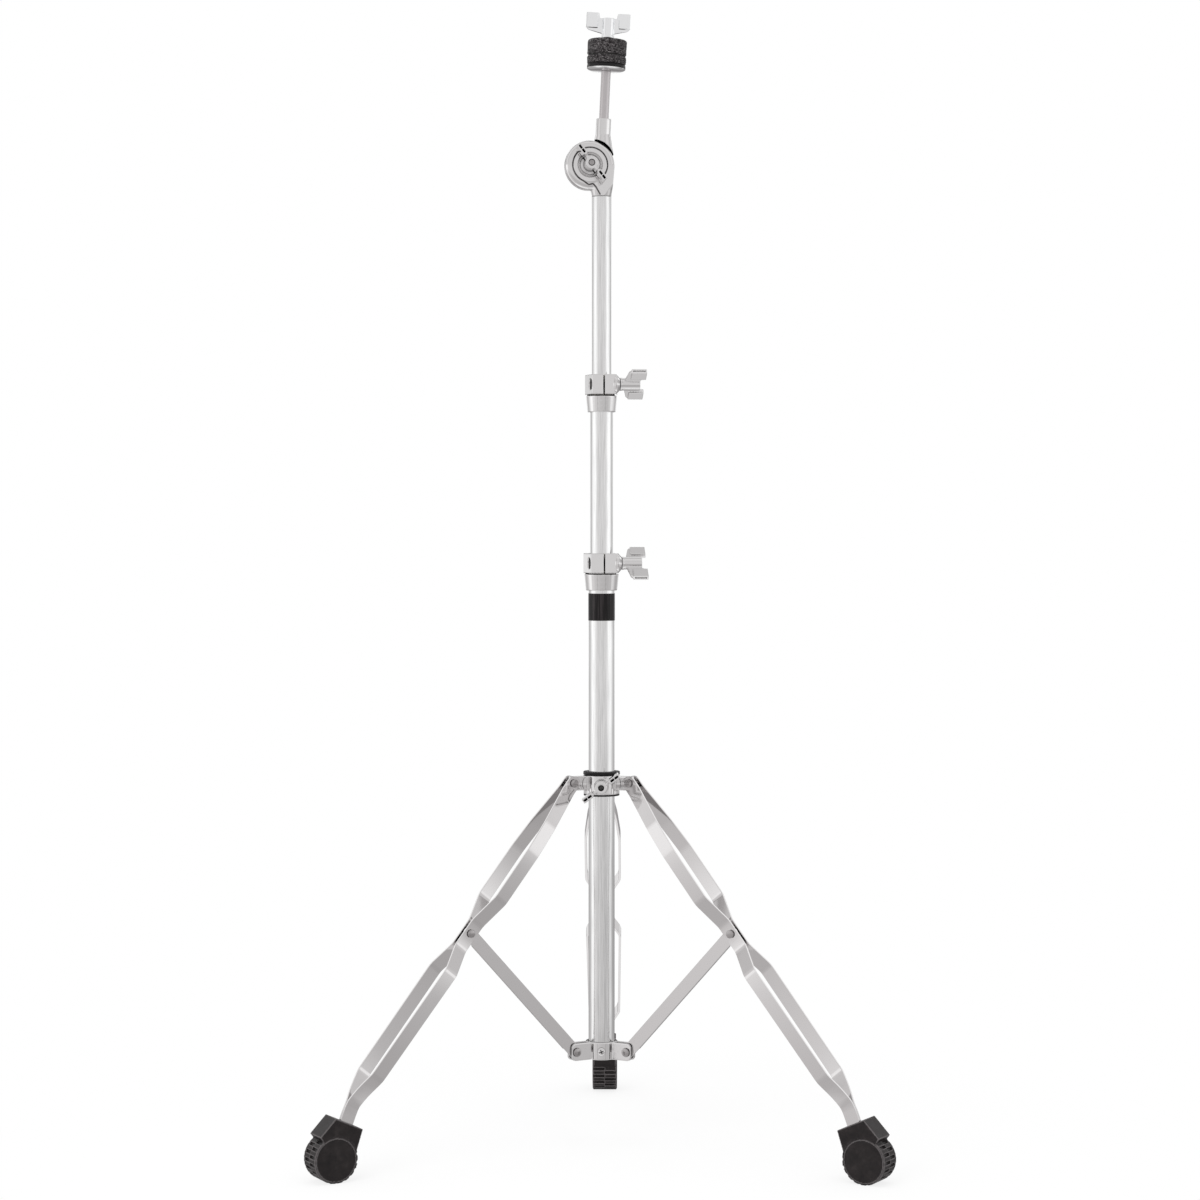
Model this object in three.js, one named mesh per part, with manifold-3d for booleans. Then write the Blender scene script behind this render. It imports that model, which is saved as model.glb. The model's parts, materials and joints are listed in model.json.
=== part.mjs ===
// A straight cymbal stand: three telescoping tubes on a double-braced folding tripod, with a
// tilter and a felted cymbal seat on top. Millimetres, +Z up, floor at z = 0.

import * as THREE from 'three';
import { mergeVertices } from 'three/addons/utils/BufferGeometryUtils.js';
import Module from 'manifold-3d';

const wasm = await Module();
wasm.setup();

// Clearances
const gap = 0.3;
const overrun = 2;
const filmGap = 0.05;
const weldReach = 0.02;

// Facet counts
const tubeSides = 24;
const roundSides = 16;
const pinSides = 10;
const hexSides = 6;
const cornerSides = 4;

// Telescoping tubes
const tubeWall = 1.2;
const baseTubeRadius = 12.7;
const midTubeRadius = 11.1;
const topTubeRadius = 9.525;
const baseTubeBottom = 90;
const baseTubeTop = 560;
const midTubeTop = 733.7;
const midTubeLength = 438;
const topTubeTop = 928.5;
const topTubeLength = 400;

// Black film round the base tube, below the lower clamp
const bandHeight = 26.5;
const bandThickness = 0.3;
const bandDrop = 2.8;

// Nylon glide in the lower end of each inner tube
const glideDepth = 12;
const glideLip = 3;
const glideWall = 3.4;

// Tube clamps, cast, on the upper end of the base tube and of the middle tube
const clampSleeve = 16;
const clampWallBelow = 2.2;
const clampWallAbove = 3.7;
const clampTubeInset = 1;
const clampSlot = 1;
const clampSlotBack = 6;
const clampEarHeight = 19.3;
const clampEarFrontReach = 0.4;
const clampEarBackReach = 4.9;
const clampEarBack = 3.5;
const clampEarRim = 1;
const clampSlit = 1.5;
const clampBoltWall = 0.4;
const clampBossReach = 4.6;
const clampBossEnd = 6.3;
const clampRecessDepth = 5;
const clampRecessRadius = 5.6;
const clampYaw = 7.5;
const lowerClampWingTurn = -49;
const upperClampWingTurn = 55.5;

// Bolts and wing nuts
const boltRadius = 3;
const boltHeadRadius = 5.2;
const boltHeadHeight = 3.6;
const wingNutFlangeRadius = 6.3;
const wingNutFlange = 1.8;
const wingNutHubRadius = 6;
const wingNutNeck = 4.1;
const wingSpan = 42.5;
const wingRise = 20.2;
const wingPlate = 2.6;
const wingNotchWidth = 18.5;
const wingNotchDepth = 4.9;
const wingNotchTaper = 0.9;
const wingEndHeight = 14.6;
const wingEndBevel = 2.4;
const wingEndLength = 10.8;
const wingEndWidth = 5;
const wingSlotWidth = 2;
const wingSlotDepth = 6;
const wingSlotEdge = 1;
const wingSlotRib = 0.8;
const boltEndInset = 0.6;

// Spreader bracket at the foot of the base tube
const bracketHeight = 17;
const bracketWall = 2.6;
const bracketPivotReach = 30.4;
const bracketPivotHeight = 97;
const bracketEarEnd = 4.8;
const bracketEarCorner = 4;
const bracketCheek = 2.8;
const bracketScrewRadius = 2;
const bracketScrewHead = 3.8;
const bracketScrewHeadHeight = 1.8;
const bracketScrewDepth = 3;

// Leg collar, which slides on the base tube
const collarPivotReach = 33.7;
const collarPivotHeight = 358.6;
const collarBelowPivot = 12.1;
const collarAbovePivot = 6.4;
const collarWall = 2.3;
const collarBushingWall = 1.9;
const collarFlange = 3.3;
const collarFlangeRadius = 17.9;
const collarLip = 1.2;
const collarLugHalfWidth = 3.2;
const collarLugBelow = 7.6;
const collarLugEnd = 2;
const collarLugCorner = 1.5;
const collarBossRadius = 6.6;
const collarBossReach = 21.5;
const collarBossDrop = 2.9;
const collarWingTurn = 36;

// Legs: two strips each, spread apart between the pivots and pinched at them
const legPivotReach = 144.9;
const legPivotHeight = 220.5;
const legKneeTurn = 0.5;
const legEndHeight = 41;
const legBendLength = 30;
const legFootAngle = 21;
const legTail = 20;
const stripWidth = 13.4;
const stripThickness = 2.2;
const stripSpread = 17;
const stripTopPinch = 9;
const stripTopBend = 50;
const stripTopBendSpread = 13.5;
const stripTopSpread = 80;
const stripPivotPinch = 12;
const stripPivotSpread = 40;
const stripPivotPinchBelow = 17;
const stripPivotSpreadBelow = 43;
const stripFootPinch = 12;
const stripFootPinchEnd = 19;
const stripFootSpread = 15.5;
const stripBendEase = 3;
const stripBendSteps = 3;
const stripEndSteps = 5;
const legBendSteps = 5;
const legAzimuths = { left: 210, right: -30, rear: 90 };

// Rivets
const rivetRadius = 2.3;
const rivetHeadRadius = 4.1;
const rivetTailRadius = 3.1;
const rivetHeadHeight = 1.6;

// Braces: channels from the bracket to the middle of each leg
const braceWidth = 12.6;
const braceDepth = 3.4;
const braceSheet = 1.4;
const braceClearance = 0.5;
const braceFlangeSetback = 11;

// Feet: rubber, a block round the strips' ends above a wheel with two rows of tread lugs
const footAxisBeyondStrips = 10.4;
const wheelRadius = 22;
const wheelWear = 0.25;
const wheelRoot = 20.3;
const treadWidth = 25;
const wheelFace = 0.6;
const wheelFaceRadius = 19.8;
const treadLugs = 18;
const treadLugShare = 0.62;
const footBlockWidth = 24;
const footBlockTop = 38.6;
const footInnerCornerShares = [-1.24, 1.18];
const footOuterCornerShares = [0.72, 1.02];
const footFenderShares = [0.6, 0.86];
const footInnerEdgeShares = [-0.92, 0.2];

// Tilter between the top tube and the cymbal rod
const tilterYaw = 6;
const tilterOffset = 12;
const tilterAxisHeight = 30.2;
const tilterRadius = 24;
const tilterPlate = 9;
const tilterPlateau = 16.8;
const tilterPlateauStep = 0.9;
const tilterRimStep = 4.4;
const tilterRecessRadius = 10;
const tilterRecess = 1.2;
const tilterPad = 1.6;
const tilterPadRadius = 20;
const tilterSaddleGap = 2;
const tilterSaddleFrom = 26;
const tilterSaddleLip = 1.5;
const tilterRimGap = 0.6;
const tilterNeckHalfDepth = 9.6;
const tilterNeckFlare = 1.6;
const tilterSpigot = 22;
const tilterPinRadius = 1.5;
const tilterPinDrop = 11;
const tilterLean = 2.7;
const tilterWingTurn = 52;
const socketRadius = 7.15;
const socketTop = 46.3;
const socketBottom = 30.7;
const socketFloor = 34;

// Cymbal rod and what is stacked on it
const rodRadius = 4.6;
const rodThreadRadius = 3.9;
const rodShoulder = 92.6;
const cupWasherRadius = 18.8;
const cupWasherBottomRadius = 16.2;
const cupWasherHeight = 2.3;
const feltSeatRadius = 18.7;
const feltSeatHeight = 3.2;
const feltRadius = 19.2;
const feltCorner = 1.4;
const lowerFeltHeight = 8.5;
const upperFeltHeight = 15.2;
const sleeveWall = 1.5;
const nutWasherRadius = 7.6;
const nutWasherHeight = 1.2;

// Colours and finishes
const finishes = {
  tubeChrome: { color: 0xcbcacb, roughness: 0.14, metalness: 1 },
  castChrome: { color: 0xc2bfc0, roughness: 0.26, metalness: 1 },
  stripChrome: { color: 0xbab7b7, roughness: 0.32, metalness: 1 },
  steel: { color: 0xb0aeae, roughness: 0.3, metalness: 1 },
  blackFilm: { color: 0x1f1b1c, roughness: 0.22, metalness: 0 },
  blackNylon: { color: 0x1c1a1a, roughness: 0.5, metalness: 0 },
  paleNylon: { color: 0xd9d6cf, roughness: 0.5, metalness: 0 },
  rubber: { color: 0x302a2a, roughness: 0.78, metalness: 0 },
  felt: { color: 0x3a3638, roughness: 1, metalness: 0 },
};

const materials = {};
for (const [name, finish] of Object.entries(finishes)) {
  materials[name] = new THREE.MeshStandardMaterial(finish);
}

const degrees = THREE.MathUtils.degToRad;

// Solids and booleans

function solidOf(positions, corners) {
  const triangles = [];
  for (let i = 0; i < corners.length; i += 3) {
    const [a, b, c] = [corners[i], corners[i + 1], corners[i + 2]];
    if (a !== b && b !== c && c !== a) {
      triangles.push(a, b, c);
    }
  }
  const mesh = new wasm.Mesh({
    numProp: 3,
    vertProperties: new Float32Array(positions),
    triVerts: new Uint32Array(triangles),
  });
  return new wasm.Manifold(mesh);
}

function toSolid(geometry) {
  const bare = geometry.clone();
  bare.deleteAttribute('normal');
  bare.deleteAttribute('uv');
  const merged = mergeVertices(bare);
  return solidOf(merged.attributes.position.array, merged.index.array);
}

// Draws together the corners that lie within the weld reach of an earlier one
function welded(geometry) {
  const kept = [];
  const points = geometry.attributes.position;
  const places = [];
  for (let i = 0; i < points.count; i += 1) {
    const point = new THREE.Vector3().fromBufferAttribute(points, i);
    const near = kept.findIndex((other) => other.distanceTo(point) < weldReach);
    places.push(near < 0 ? kept.length : near);
    if (near < 0) {
      kept.push(point);
    }
  }
  const corners = Array.from(geometry.index.array, (corner) => places[corner]);
  return toGeometry(solidOf(kept.flatMap((point) => point.toArray()), corners));
}

function toGeometry(solid) {
  const mesh = solid.getMesh();
  const geometry = new THREE.BufferGeometry();
  geometry.setAttribute('position', new THREE.BufferAttribute(mesh.vertProperties, mesh.numProp));
  geometry.setIndex(new THREE.BufferAttribute(mesh.triVerts, 1));
  return geometry;
}

function join(...geometries) {
  const solids = geometries.map((geometry) => toSolid(geometry));
  return toGeometry(solids.reduce((sum, solid) => sum.add(solid)));
}

function cut(geometry, ...tools) {
  const solids = tools.map((tool) => toSolid(tool));
  return toGeometry(solids.reduce((rest, tool) => rest.subtract(tool), toSolid(geometry)));
}

function common(geometry, other) {
  return toGeometry(toSolid(geometry).intersect(toSolid(other)));
}

// Shapes with their axis on Z. A profile lists radius and height, anticlockwise round the section.

function turned(profile, sides) {
  const points = profile.map(([radius, height]) => new THREE.Vector2(radius, height));
  return new THREE.LatheGeometry(points, sides).rotateX(Math.PI / 2);
}

function disc(radius, bottom, top, sides = roundSides) {
  return turned([[0, bottom], [radius, bottom], [radius, top], [0, top]], sides);
}

function ring(outer, inner, bottom, top, sides = roundSides) {
  return turned([[inner, bottom], [outer, bottom], [outer, top], [inner, top], [inner, bottom]], sides);
}

function box(x0, x1, y0, y1, z0, z1) {
  const geometry = new THREE.BoxGeometry(x1 - x0, y1 - y0, z1 - z0);
  return geometry.translate((x0 + x1) / 2, (y0 + y1) / 2, (z0 + z1) / 2);
}

// A prism whose outline lies in X and Y, between two heights
function prism(outline, bottom, top) {
  const shape = outline instanceof THREE.Shape
    ? outline
    : new THREE.Shape(outline.map(([x, y]) => new THREE.Vector2(x, y)));
  const geometry = new THREE.ExtrudeGeometry(shape, {
    depth: top - bottom,
    bevelEnabled: false,
    curveSegments: cornerSides,
  });
  return geometry.translate(0, 0, bottom);
}

// A plate whose outline lies in X and Z, between two depths along Y
const plate = (outline, front, back) => prism(outline, -back, -front).rotateX(Math.PI / 2);

// Turns a shape from the Z axis onto +X, or onto -Y, which is the front
const alongX = (geometry) => geometry.rotateY(Math.PI / 2);
const toFront = (geometry) => geometry.rotateX(Math.PI / 2);

const stand = new THREE.Group();

function group(parent, position = [0, 0, 0], turn = [0, 0, 0]) {
  const made = new THREE.Group();
  made.position.set(...position);
  made.rotation.set(degrees(turn[0]), degrees(turn[1]), degrees(turn[2]));
  parent.add(made);
  return made;
}

// Each piece is welded once more, so that no edge is shorter than the weld reach
function piece(name, geometry, finish, parent) {
  const mesh = new THREE.Mesh(welded(toGeometry(toSolid(geometry))), materials[finish]);
  mesh.name = name;
  parent.add(mesh);
  return mesh;
}

// Bolts and wing nuts, seated at z = 0 with their axis on Z

const wingNutHeight = wingNutNeck + wingRise;
const wingNutHubTop = wingNutHeight - wingNotchDepth;

function wingOutline() {
  const half = wingSpan / 2;
  const notch = wingNotchWidth / 2;
  const endBottom = wingNutHeight - wingEndHeight;
  const right = [
    [wingNutHubRadius - wingNotchTaper, wingNutNeck],
    [half - wingEndBevel, endBottom - wingEndBevel],
    [half, endBottom],
    [half, wingNutHeight],
    [notch, wingNutHeight],
    [notch - wingNotchTaper, wingNutHubTop],
  ];
  const left = right.map(([x, z]) => [-x, z]).reverse();
  return [...right, ...left];
}

// The thick end of a wing, on the right, and the two pockets cored into its top
function wingEnd() {
  const outer = wingSpan / 2;
  const inner = outer - wingEndLength;
  const half = wingEndWidth / 2;
  return box(inner, outer, -half, half, wingNutHeight - wingEndHeight, wingNutHeight);
}

function wingPockets() {
  const outer = wingSpan / 2 - wingSlotEdge;
  const inner = wingSpan / 2 - wingEndLength + wingSlotEdge;
  const middle = (inner + outer) / 2;
  const half = wingSlotWidth / 2;
  const floor = wingNutHeight - wingSlotDepth;
  return [
    box(inner, middle - wingSlotRib / 2, -half, half, floor, wingNutHeight + overrun),
    box(middle + wingSlotRib / 2, outer, -half, half, floor, wingNutHeight + overrun),
  ];
}

function wingBody() {
  const pockets = wingPockets();
  const body = join(
    disc(wingNutFlangeRadius, 0, wingNutFlange),
    disc(wingNutHubRadius, 0, wingNutHubTop),
    plate(wingOutline(), -wingPlate / 2, wingPlate / 2),
    wingEnd(),
    wingEnd().rotateZ(Math.PI),
  );
  return cut(body, ...pockets, ...pockets.map((pocket) => pocket.clone().rotateZ(Math.PI)));
}

function wingNut(threadRadius) {
  return cut(wingBody(), disc(threadRadius + gap, -overrun, wingNutHeight + overrun, pinSides));
}

// A tube clamp. Its origin is the top of the cone, just above the end of the tube that carries it.
// In its own frame the ears point to the front, -Y, and the wing nut to the right, +X.

const clampBore = (tubeRadius) => tubeRadius + gap;
const clampTop = clampSlot + clampEarHeight;
const clampBoltHeight = clampSlot + clampEarHeight / 2;
const clampBoltReach = (tubeRadius) => clampBore(tubeRadius) + clampBoltWall + boltRadius + gap;
const clampEarFront = (tubeRadius) => clampBoltReach(tubeRadius) + clampRecessRadius + clampEarRim;
const clampEarsWidth = (tubeRadius) => tubeRadius + clampEarBackReach;

// Half the width of the ears at the bolt. Their sides slant in towards the front.
function clampSideAtBolt(tubeRadius) {
  const front = clampEarFront(tubeRadius);
  return THREE.MathUtils.mapLinear(
    clampBoltReach(tubeRadius), front, -clampEarBack,
    tubeRadius + clampEarFrontReach, clampEarsWidth(tubeRadius),
  );
}

function clampCasting(tubeRadius) {
  const bore = clampBore(tubeRadius);
  const front = clampEarFront(tubeRadius);
  const frontHalf = tubeRadius + clampEarFrontReach;
  const backHalf = clampEarsWidth(tubeRadius);
  const side = clampSideAtBolt(tubeRadius);
  const seat = tubeRadius + clampBossReach;
  const cone = turned([
    [bore, -clampSleeve],
    [bore + clampWallBelow, -clampSleeve],
    [bore + clampWallAbove, 0],
    [bore + clampWallAbove, clampTop],
    [bore, clampTop],
    [bore, -clampSleeve],
  ], tubeSides);
  const ears = prism([
    [-frontHalf, -front],
    [frontHalf, -front],
    [backHalf, clampEarBack],
    [-backHalf, clampEarBack],
  ], clampSlot, clampTop);
  const reach = clampBoltReach(tubeRadius);
  const boltAxis = (geometry) => alongX(geometry).translate(0, -reach, clampBoltHeight);
  const taper = boltAxis(turned([
    [0, 0],
    [clampEarHeight / 2, 0],
    [clampEarHeight / 2, side],
    [clampBossEnd, seat],
    [0, seat],
  ], roundSides));
  const bossLimit = box(tubeRadius, seat, -front, 0, clampSlot, clampTop);
  const outside = backHalf + overrun;
  return cut(
    join(cone, ears, common(taper, bossLimit)),
    disc(bore, -clampSleeve - overrun, clampTop + overrun, tubeSides),
    box(-clampSlit / 2, clampSlit / 2, -front - overrun, 0, 0, clampTop + overrun),
    box(-outside, outside, -front - overrun, clampSlotBack, 0, clampSlot),
    boltAxis(disc(boltRadius + gap, -outside, outside, pinSides)),
    boltAxis(disc(clampRecessRadius, -outside, clampRecessDepth - side)),
  );
}

function addClamp(name, tubeRadius, innerRadius, wingTurn, parent) {
  const frame = group(parent, [0, 0, 0], [0, 0, clampYaw]);
  piece(`${name}_clamp`, clampCasting(tubeRadius), 'castChrome', frame);
  const bushing = ring(
    clampBore(tubeRadius) - gap, innerRadius + gap,
    gap - clampTubeInset, clampTop - gap, tubeSides,
  );
  piece(`${name}_clamp_bushing`, bushing, 'paleNylon', frame);
  const seat = tubeRadius + clampBossReach + gap;
  const head = clampRecessDepth - clampSideAtBolt(tubeRadius) - gap;
  const boltEnd = seat + wingNutHubTop - boltEndInset;
  const bolt = join(
    disc(boltHeadRadius, head - boltHeadHeight, head, hexSides),
    disc(boltRadius, head - boltEndInset, boltEnd, pinSides),
  );
  const boltFrame = group(frame, [0, -clampBoltReach(tubeRadius), clampBoltHeight]);
  piece(`${name}_clamp_bolt`, alongX(bolt), 'steel', boltFrame);
  const nutFrame = group(boltFrame, [seat, 0, 0], [wingTurn, 0, 0]);
  piece(`${name}_clamp_wing_nut`, alongX(wingNut(boltRadius)), 'castChrome', nutFrame);
}

// Base tube with its film band and the lower clamp

function addBaseTube() {
  const wall = ring(baseTubeRadius, baseTubeRadius - tubeWall, baseTubeBottom, baseTubeTop, tubeSides);
  const screwHole = toFront(disc(bracketScrewRadius + gap, 0, baseTubeRadius + overrun, pinSides));
  piece('base_tube', cut(wall, screwHole.translate(0, 0, bracketPivotHeight)), 'tubeChrome', stand);
  const bandTop = baseTubeTop + clampTubeInset - clampSleeve - bandDrop;
  const inner = baseTubeRadius + filmGap;
  const band = ring(inner + bandThickness, inner, bandTop - bandHeight, bandTop, tubeSides);
  piece('tube_band', band, 'blackFilm', stand);
  const clampFrame = group(stand, [0, 0, baseTubeTop + clampTubeInset]);
  addClamp('lower', baseTubeRadius, midTubeRadius, lowerClampWingTurn, clampFrame);
}

function glide(tubeRadius, outerTubeRadius) {
  const lipRadius = outerTubeRadius - tubeWall - gap;
  const neckRadius = tubeRadius - tubeWall - gap;
  const bore = neckRadius - glideWall;
  return turned([
    [bore, -glideLip],
    [lipRadius, -glideLip],
    [lipRadius, 0],
    [neckRadius, 0],
    [neckRadius, glideDepth],
    [bore, glideDepth],
    [bore, -glideLip],
  ], tubeSides);
}

function addMiddleTube() {
  const frame = group(stand, [0, 0, midTubeTop]);
  const wall = ring(midTubeRadius, midTubeRadius - tubeWall, -midTubeLength, 0, tubeSides);
  piece('middle_tube', wall, 'tubeChrome', frame);
  const foot = group(frame, [0, 0, -midTubeLength - gap]);
  piece('middle_tube_glide', glide(midTubeRadius, baseTubeRadius), 'paleNylon', foot);
  addClamp('upper', midTubeRadius, topTubeRadius, upperClampWingTurn, group(frame, [0, 0, clampTubeInset]));
}

// Rivets lie along Y. The head is at the front end and the upset tail at the back end.

function rivet(front, back) {
  const shank = disc(rivetRadius, -back, -front, pinSides);
  const head = disc(rivetHeadRadius, -front, -front + rivetHeadHeight, pinSides);
  const tail = disc(rivetTailRadius, -back - rivetHeadHeight, -back, pinSides);
  return toFront(join(shank, head, tail));
}

const pinHole = (radius, halfDepth) => toFront(disc(radius, -halfDepth, halfDepth, pinSides));

// Bracket at the foot of the base tube, with a forked ear for each brace

const braceSlot = braceDepth / 2 + braceClearance;
const bracketEarHalf = braceSlot + bracketCheek;

function roundedRect(x0, x1, z0, z1, corner) {
  const shape = new THREE.Shape();
  shape.moveTo(x0, z0);
  shape.lineTo(x1 - corner, z0);
  shape.absarc(x1 - corner, z0 + corner, corner, -Math.PI / 2, 0, false);
  shape.lineTo(x1, z1 - corner);
  shape.absarc(x1 - corner, z1 - corner, corner, 0, Math.PI / 2, false);
  shape.lineTo(x0, z1);
  return shape;
}

function bracketCasting() {
  const half = bracketHeight / 2;
  const bore = baseTubeRadius + gap;
  const earEnd = bracketPivotReach + bracketEarEnd;
  const ears = Object.values(legAzimuths).map((azimuth) => {
    const outline = roundedRect(0, earEnd, -half, half, bracketEarCorner);
    return plate(outline, -bracketEarHalf, bracketEarHalf).rotateZ(degrees(azimuth));
  });
  const slots = Object.values(legAzimuths).map((azimuth) => {
    const slot = box(
      bore + bracketWall, earEnd + overrun,
      -braceSlot, braceSlot,
      -half - overrun, half + overrun,
    );
    const hole = pinHole(rivetRadius + gap, bracketEarHalf + overrun).translate(bracketPivotReach, 0, 0);
    return join(slot, hole).rotateZ(degrees(azimuth));
  });
  const body = join(disc(bore + bracketWall, -half, half, tubeSides), ...ears);
  const screwHole = toFront(disc(bracketScrewRadius + gap, 0, bore + bracketWall + overrun, pinSides));
  return cut(body, disc(bore, -half - overrun, half + overrun, tubeSides), screwHole, ...slots);
}

function addBracket() {
  const frame = group(stand, [0, 0, bracketPivotHeight]);
  piece('spreader_bracket', bracketCasting(), 'castChrome', frame);
  const seat = baseTubeRadius + gap + bracketWall + gap;
  const inner = baseTubeRadius - tubeWall - bracketScrewDepth;
  const screw = join(
    disc(bracketScrewRadius, inner, seat + gap, pinSides),
    disc(bracketScrewHead, seat, seat + bracketScrewHeadHeight, roundSides),
  );
  piece('bracket_screw', toFront(screw), 'steel', frame);
  for (const [side, azimuth] of Object.entries(legAzimuths)) {
    const ear = group(frame, [0, 0, 0], [0, 0, azimuth]);
    const pin = group(ear, [bracketPivotReach, 0, 0], [0, 0, side === 'left' ? 180 : 0]);
    const reach = bracketEarHalf + gap;
    piece(`bracket_rivet_${side}`, rivet(-reach, reach), 'steel', pin);
  }
}

// Collar that slides on the base tube and carries the legs

const collarInner = baseTubeRadius + gap + collarBushingWall + gap;
const collarOuter = collarInner + collarWall;
const stripInnerAtCollar = collarLugHalfWidth + gap;
const stripOuterAtCollar = stripInnerAtCollar + stripThickness;

function collarCasting() {
  const lugs = Object.values(legAzimuths).map((azimuth) => {
    const end = collarPivotReach + collarLugEnd;
    const outline = roundedRect(0, end, -collarLugBelow, collarAbovePivot, collarLugCorner);
    return plate(outline, -collarLugHalfWidth, collarLugHalfWidth).rotateZ(degrees(azimuth));
  });
  const pins = Object.values(legAzimuths).map((azimuth) => {
    const hole = pinHole(rivetRadius + gap, collarLugHalfWidth + overrun);
    return hole.translate(collarPivotReach, 0, 0).rotateZ(degrees(azimuth));
  });
  const boss = toFront(disc(collarBossRadius, 0, collarBossReach)).translate(0, 0, -collarBossDrop);
  const thread = toFront(disc(boltRadius + gap, 0, collarBossReach + overrun, pinSides));
  return cut(
    join(disc(collarOuter, -collarBelowPivot, collarAbovePivot, tubeSides), boss, ...lugs),
    disc(collarInner, -collarBelowPivot - overrun, collarAbovePivot + overrun, tubeSides),
    thread.translate(0, 0, -collarBossDrop),
    ...pins,
  );
}

function collarBushing() {
  const bore = baseTubeRadius + gap;
  const barrel = bore + collarBushingWall;
  const below = -collarBelowPivot - gap;
  const above = collarAbovePivot + gap;
  return turned([
    [bore, below - collarLip],
    [collarOuter, below - collarLip],
    [collarOuter, below],
    [barrel, below],
    [barrel, above],
    [collarFlangeRadius, above],
    [collarFlangeRadius, above + collarFlange],
    [bore, above + collarFlange],
    [bore, below - collarLip],
  ], tubeSides);
}

function addCollar() {
  const frame = group(stand, [0, 0, collarPivotHeight]);
  piece('leg_collar', collarCasting(), 'castChrome', frame);
  piece('collar_bushing', collarBushing(), 'blackNylon', frame);
  const seat = collarBossReach + gap;
  const tip = baseTubeRadius + gap + collarBushingWall + gap;
  const wingBolt = join(wingBody(), disc(boltRadius, tip - seat, 0, pinSides));
  const socket = disc(boltRadius, wingNutHubTop - wingNotchDepth, wingNutHeight, pinSides);
  const boltFrame = group(frame, [0, -seat, -collarBossDrop], [0, -collarWingTurn, 0]);
  piece('collar_wing_bolt', toFront(cut(wingBolt, socket)), 'castChrome', boltFrame);
  for (const [side, azimuth] of Object.entries(legAzimuths)) {
    const lug = group(frame, [0, 0, 0], [0, 0, azimuth]);
    const pin = group(lug, [collarPivotReach, 0, 0], [0, 0, side === 'left' ? 180 : 0]);
    const reach = stripOuterAtCollar + gap;
    piece(`collar_rivet_${side}`, rivet(-reach, reach), 'steel', pin);
  }
}

// Leg strips. The path of a strip in the leg's plane runs from the collar pivot through the middle
// pivot to the foot, and a second line gives its offset from that plane.

// The straight below the middle pivot is as long as brings the strips' ends to their height
function legStraightBelowPivot() {
  let height = legPivotHeight - legEndHeight - legTail * Math.cos(degrees(legFootAngle));
  for (let step = 0; step < legBendSteps; step += 1) {
    const bent = (step + 1 / 2) / legBendSteps;
    const heading = THREE.MathUtils.lerp(legLowerAngle, degrees(legFootAngle), bent);
    height -= legBendLength / legBendSteps * Math.cos(heading);
  }
  return height / Math.cos(legLowerAngle);
}

const legUpperLength = Math.hypot(legPivotReach - collarPivotReach, collarPivotHeight - legPivotHeight);
const legUpperAngle = Math.atan2(legPivotReach - collarPivotReach, collarPivotHeight - legPivotHeight);
const legLowerAngle = legUpperAngle + degrees(legKneeTurn);
const legBendStart = legUpperLength + legStraightBelowPivot();
const legBendEnd = legBendStart + legBendLength;
const legLength = legBendEnd + legTail;

function legHeading(along) {
  if (along < legUpperLength) {
    return legUpperAngle;
  }
  const bent = THREE.MathUtils.clamp((along - legBendStart) / legBendLength, 0, 1);
  return THREE.MathUtils.lerp(legLowerAngle, degrees(legFootAngle), bent);
}

function legPoint(along) {
  const marks = [-stripWidth, legUpperLength, legBendStart];
  for (let step = 1; step <= legBendSteps; step += 1) {
    marks.push(legBendStart + legBendLength * step / legBendSteps);
  }
  marks.push(legLength);
  let reach = collarPivotReach - stripWidth * Math.sin(legUpperAngle);
  let height = collarPivotHeight + stripWidth * Math.cos(legUpperAngle);
  for (let i = 1; i < marks.length; i += 1) {
    const length = Math.min(marks[i], along) - Math.min(marks[i - 1], along);
    const heading = legHeading((marks[i - 1] + marks[i]) / 2);
    reach += length * Math.sin(heading);
    height -= length * Math.cos(heading);
  }
  return [reach, height];
}

const stripAtCollar = stripInnerAtCollar + stripThickness / 2;
const stripAtPivot = braceSlot + stripThickness / 2;
const stripAtFoot = gap / 2 + stripThickness / 2;

const stripOffsets = [
  [0, stripAtCollar],
  [stripTopPinch, stripAtCollar],
  [stripTopBend, stripTopBendSpread],
  [stripTopSpread, stripSpread],
  [legUpperLength - stripPivotSpread, stripSpread],
  [legUpperLength - stripPivotPinch, stripAtPivot],
  [legUpperLength + stripPivotPinchBelow, stripAtPivot],
  [legUpperLength + stripPivotSpreadBelow, stripSpread],
  [legBendStart - stripFootPinch, stripFootSpread],
  [legBendStart + stripFootPinchEnd, stripAtFoot],
  [legLength, stripAtFoot],
];

// The offset line with each corner eased over a short length, as a press brake leaves it
function easedOffsets() {
  const stations = [stripOffsets[0]];
  for (let i = 1; i < stripOffsets.length - 1; i += 1) {
    const corner = new THREE.Vector2(...stripOffsets[i]);
    const before = new THREE.Vector2(...stripOffsets[i - 1]).sub(corner).setLength(stripBendEase);
    const after = new THREE.Vector2(...stripOffsets[i + 1]).sub(corner).setLength(stripBendEase);
    const curve = new THREE.QuadraticBezierCurve(before.add(corner), corner, after.add(corner));
    stations.push(...curve.getPoints(stripBendSteps - 1).map((point) => [point.x, point.y]));
  }
  stations.push(stripOffsets[stripOffsets.length - 1]);
  const extra = [];
  for (let step = 0; step <= legBendSteps; step += 1) {
    extra.push(legBendStart + legBendLength * step / legBendSteps);
  }
  for (const along of extra) {
    const next = stations.findIndex((station) => station[0] > along);
    const [s0, t0] = stations[next - 1];
    const [s1, t1] = stations[next];
    if (along - s0 > gap && s1 - along > gap) {
      stations.splice(next, 0, [along, THREE.MathUtils.mapLinear(along, s0, s1, t0, t1)]);
    }
  }
  return stations;
}

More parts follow.
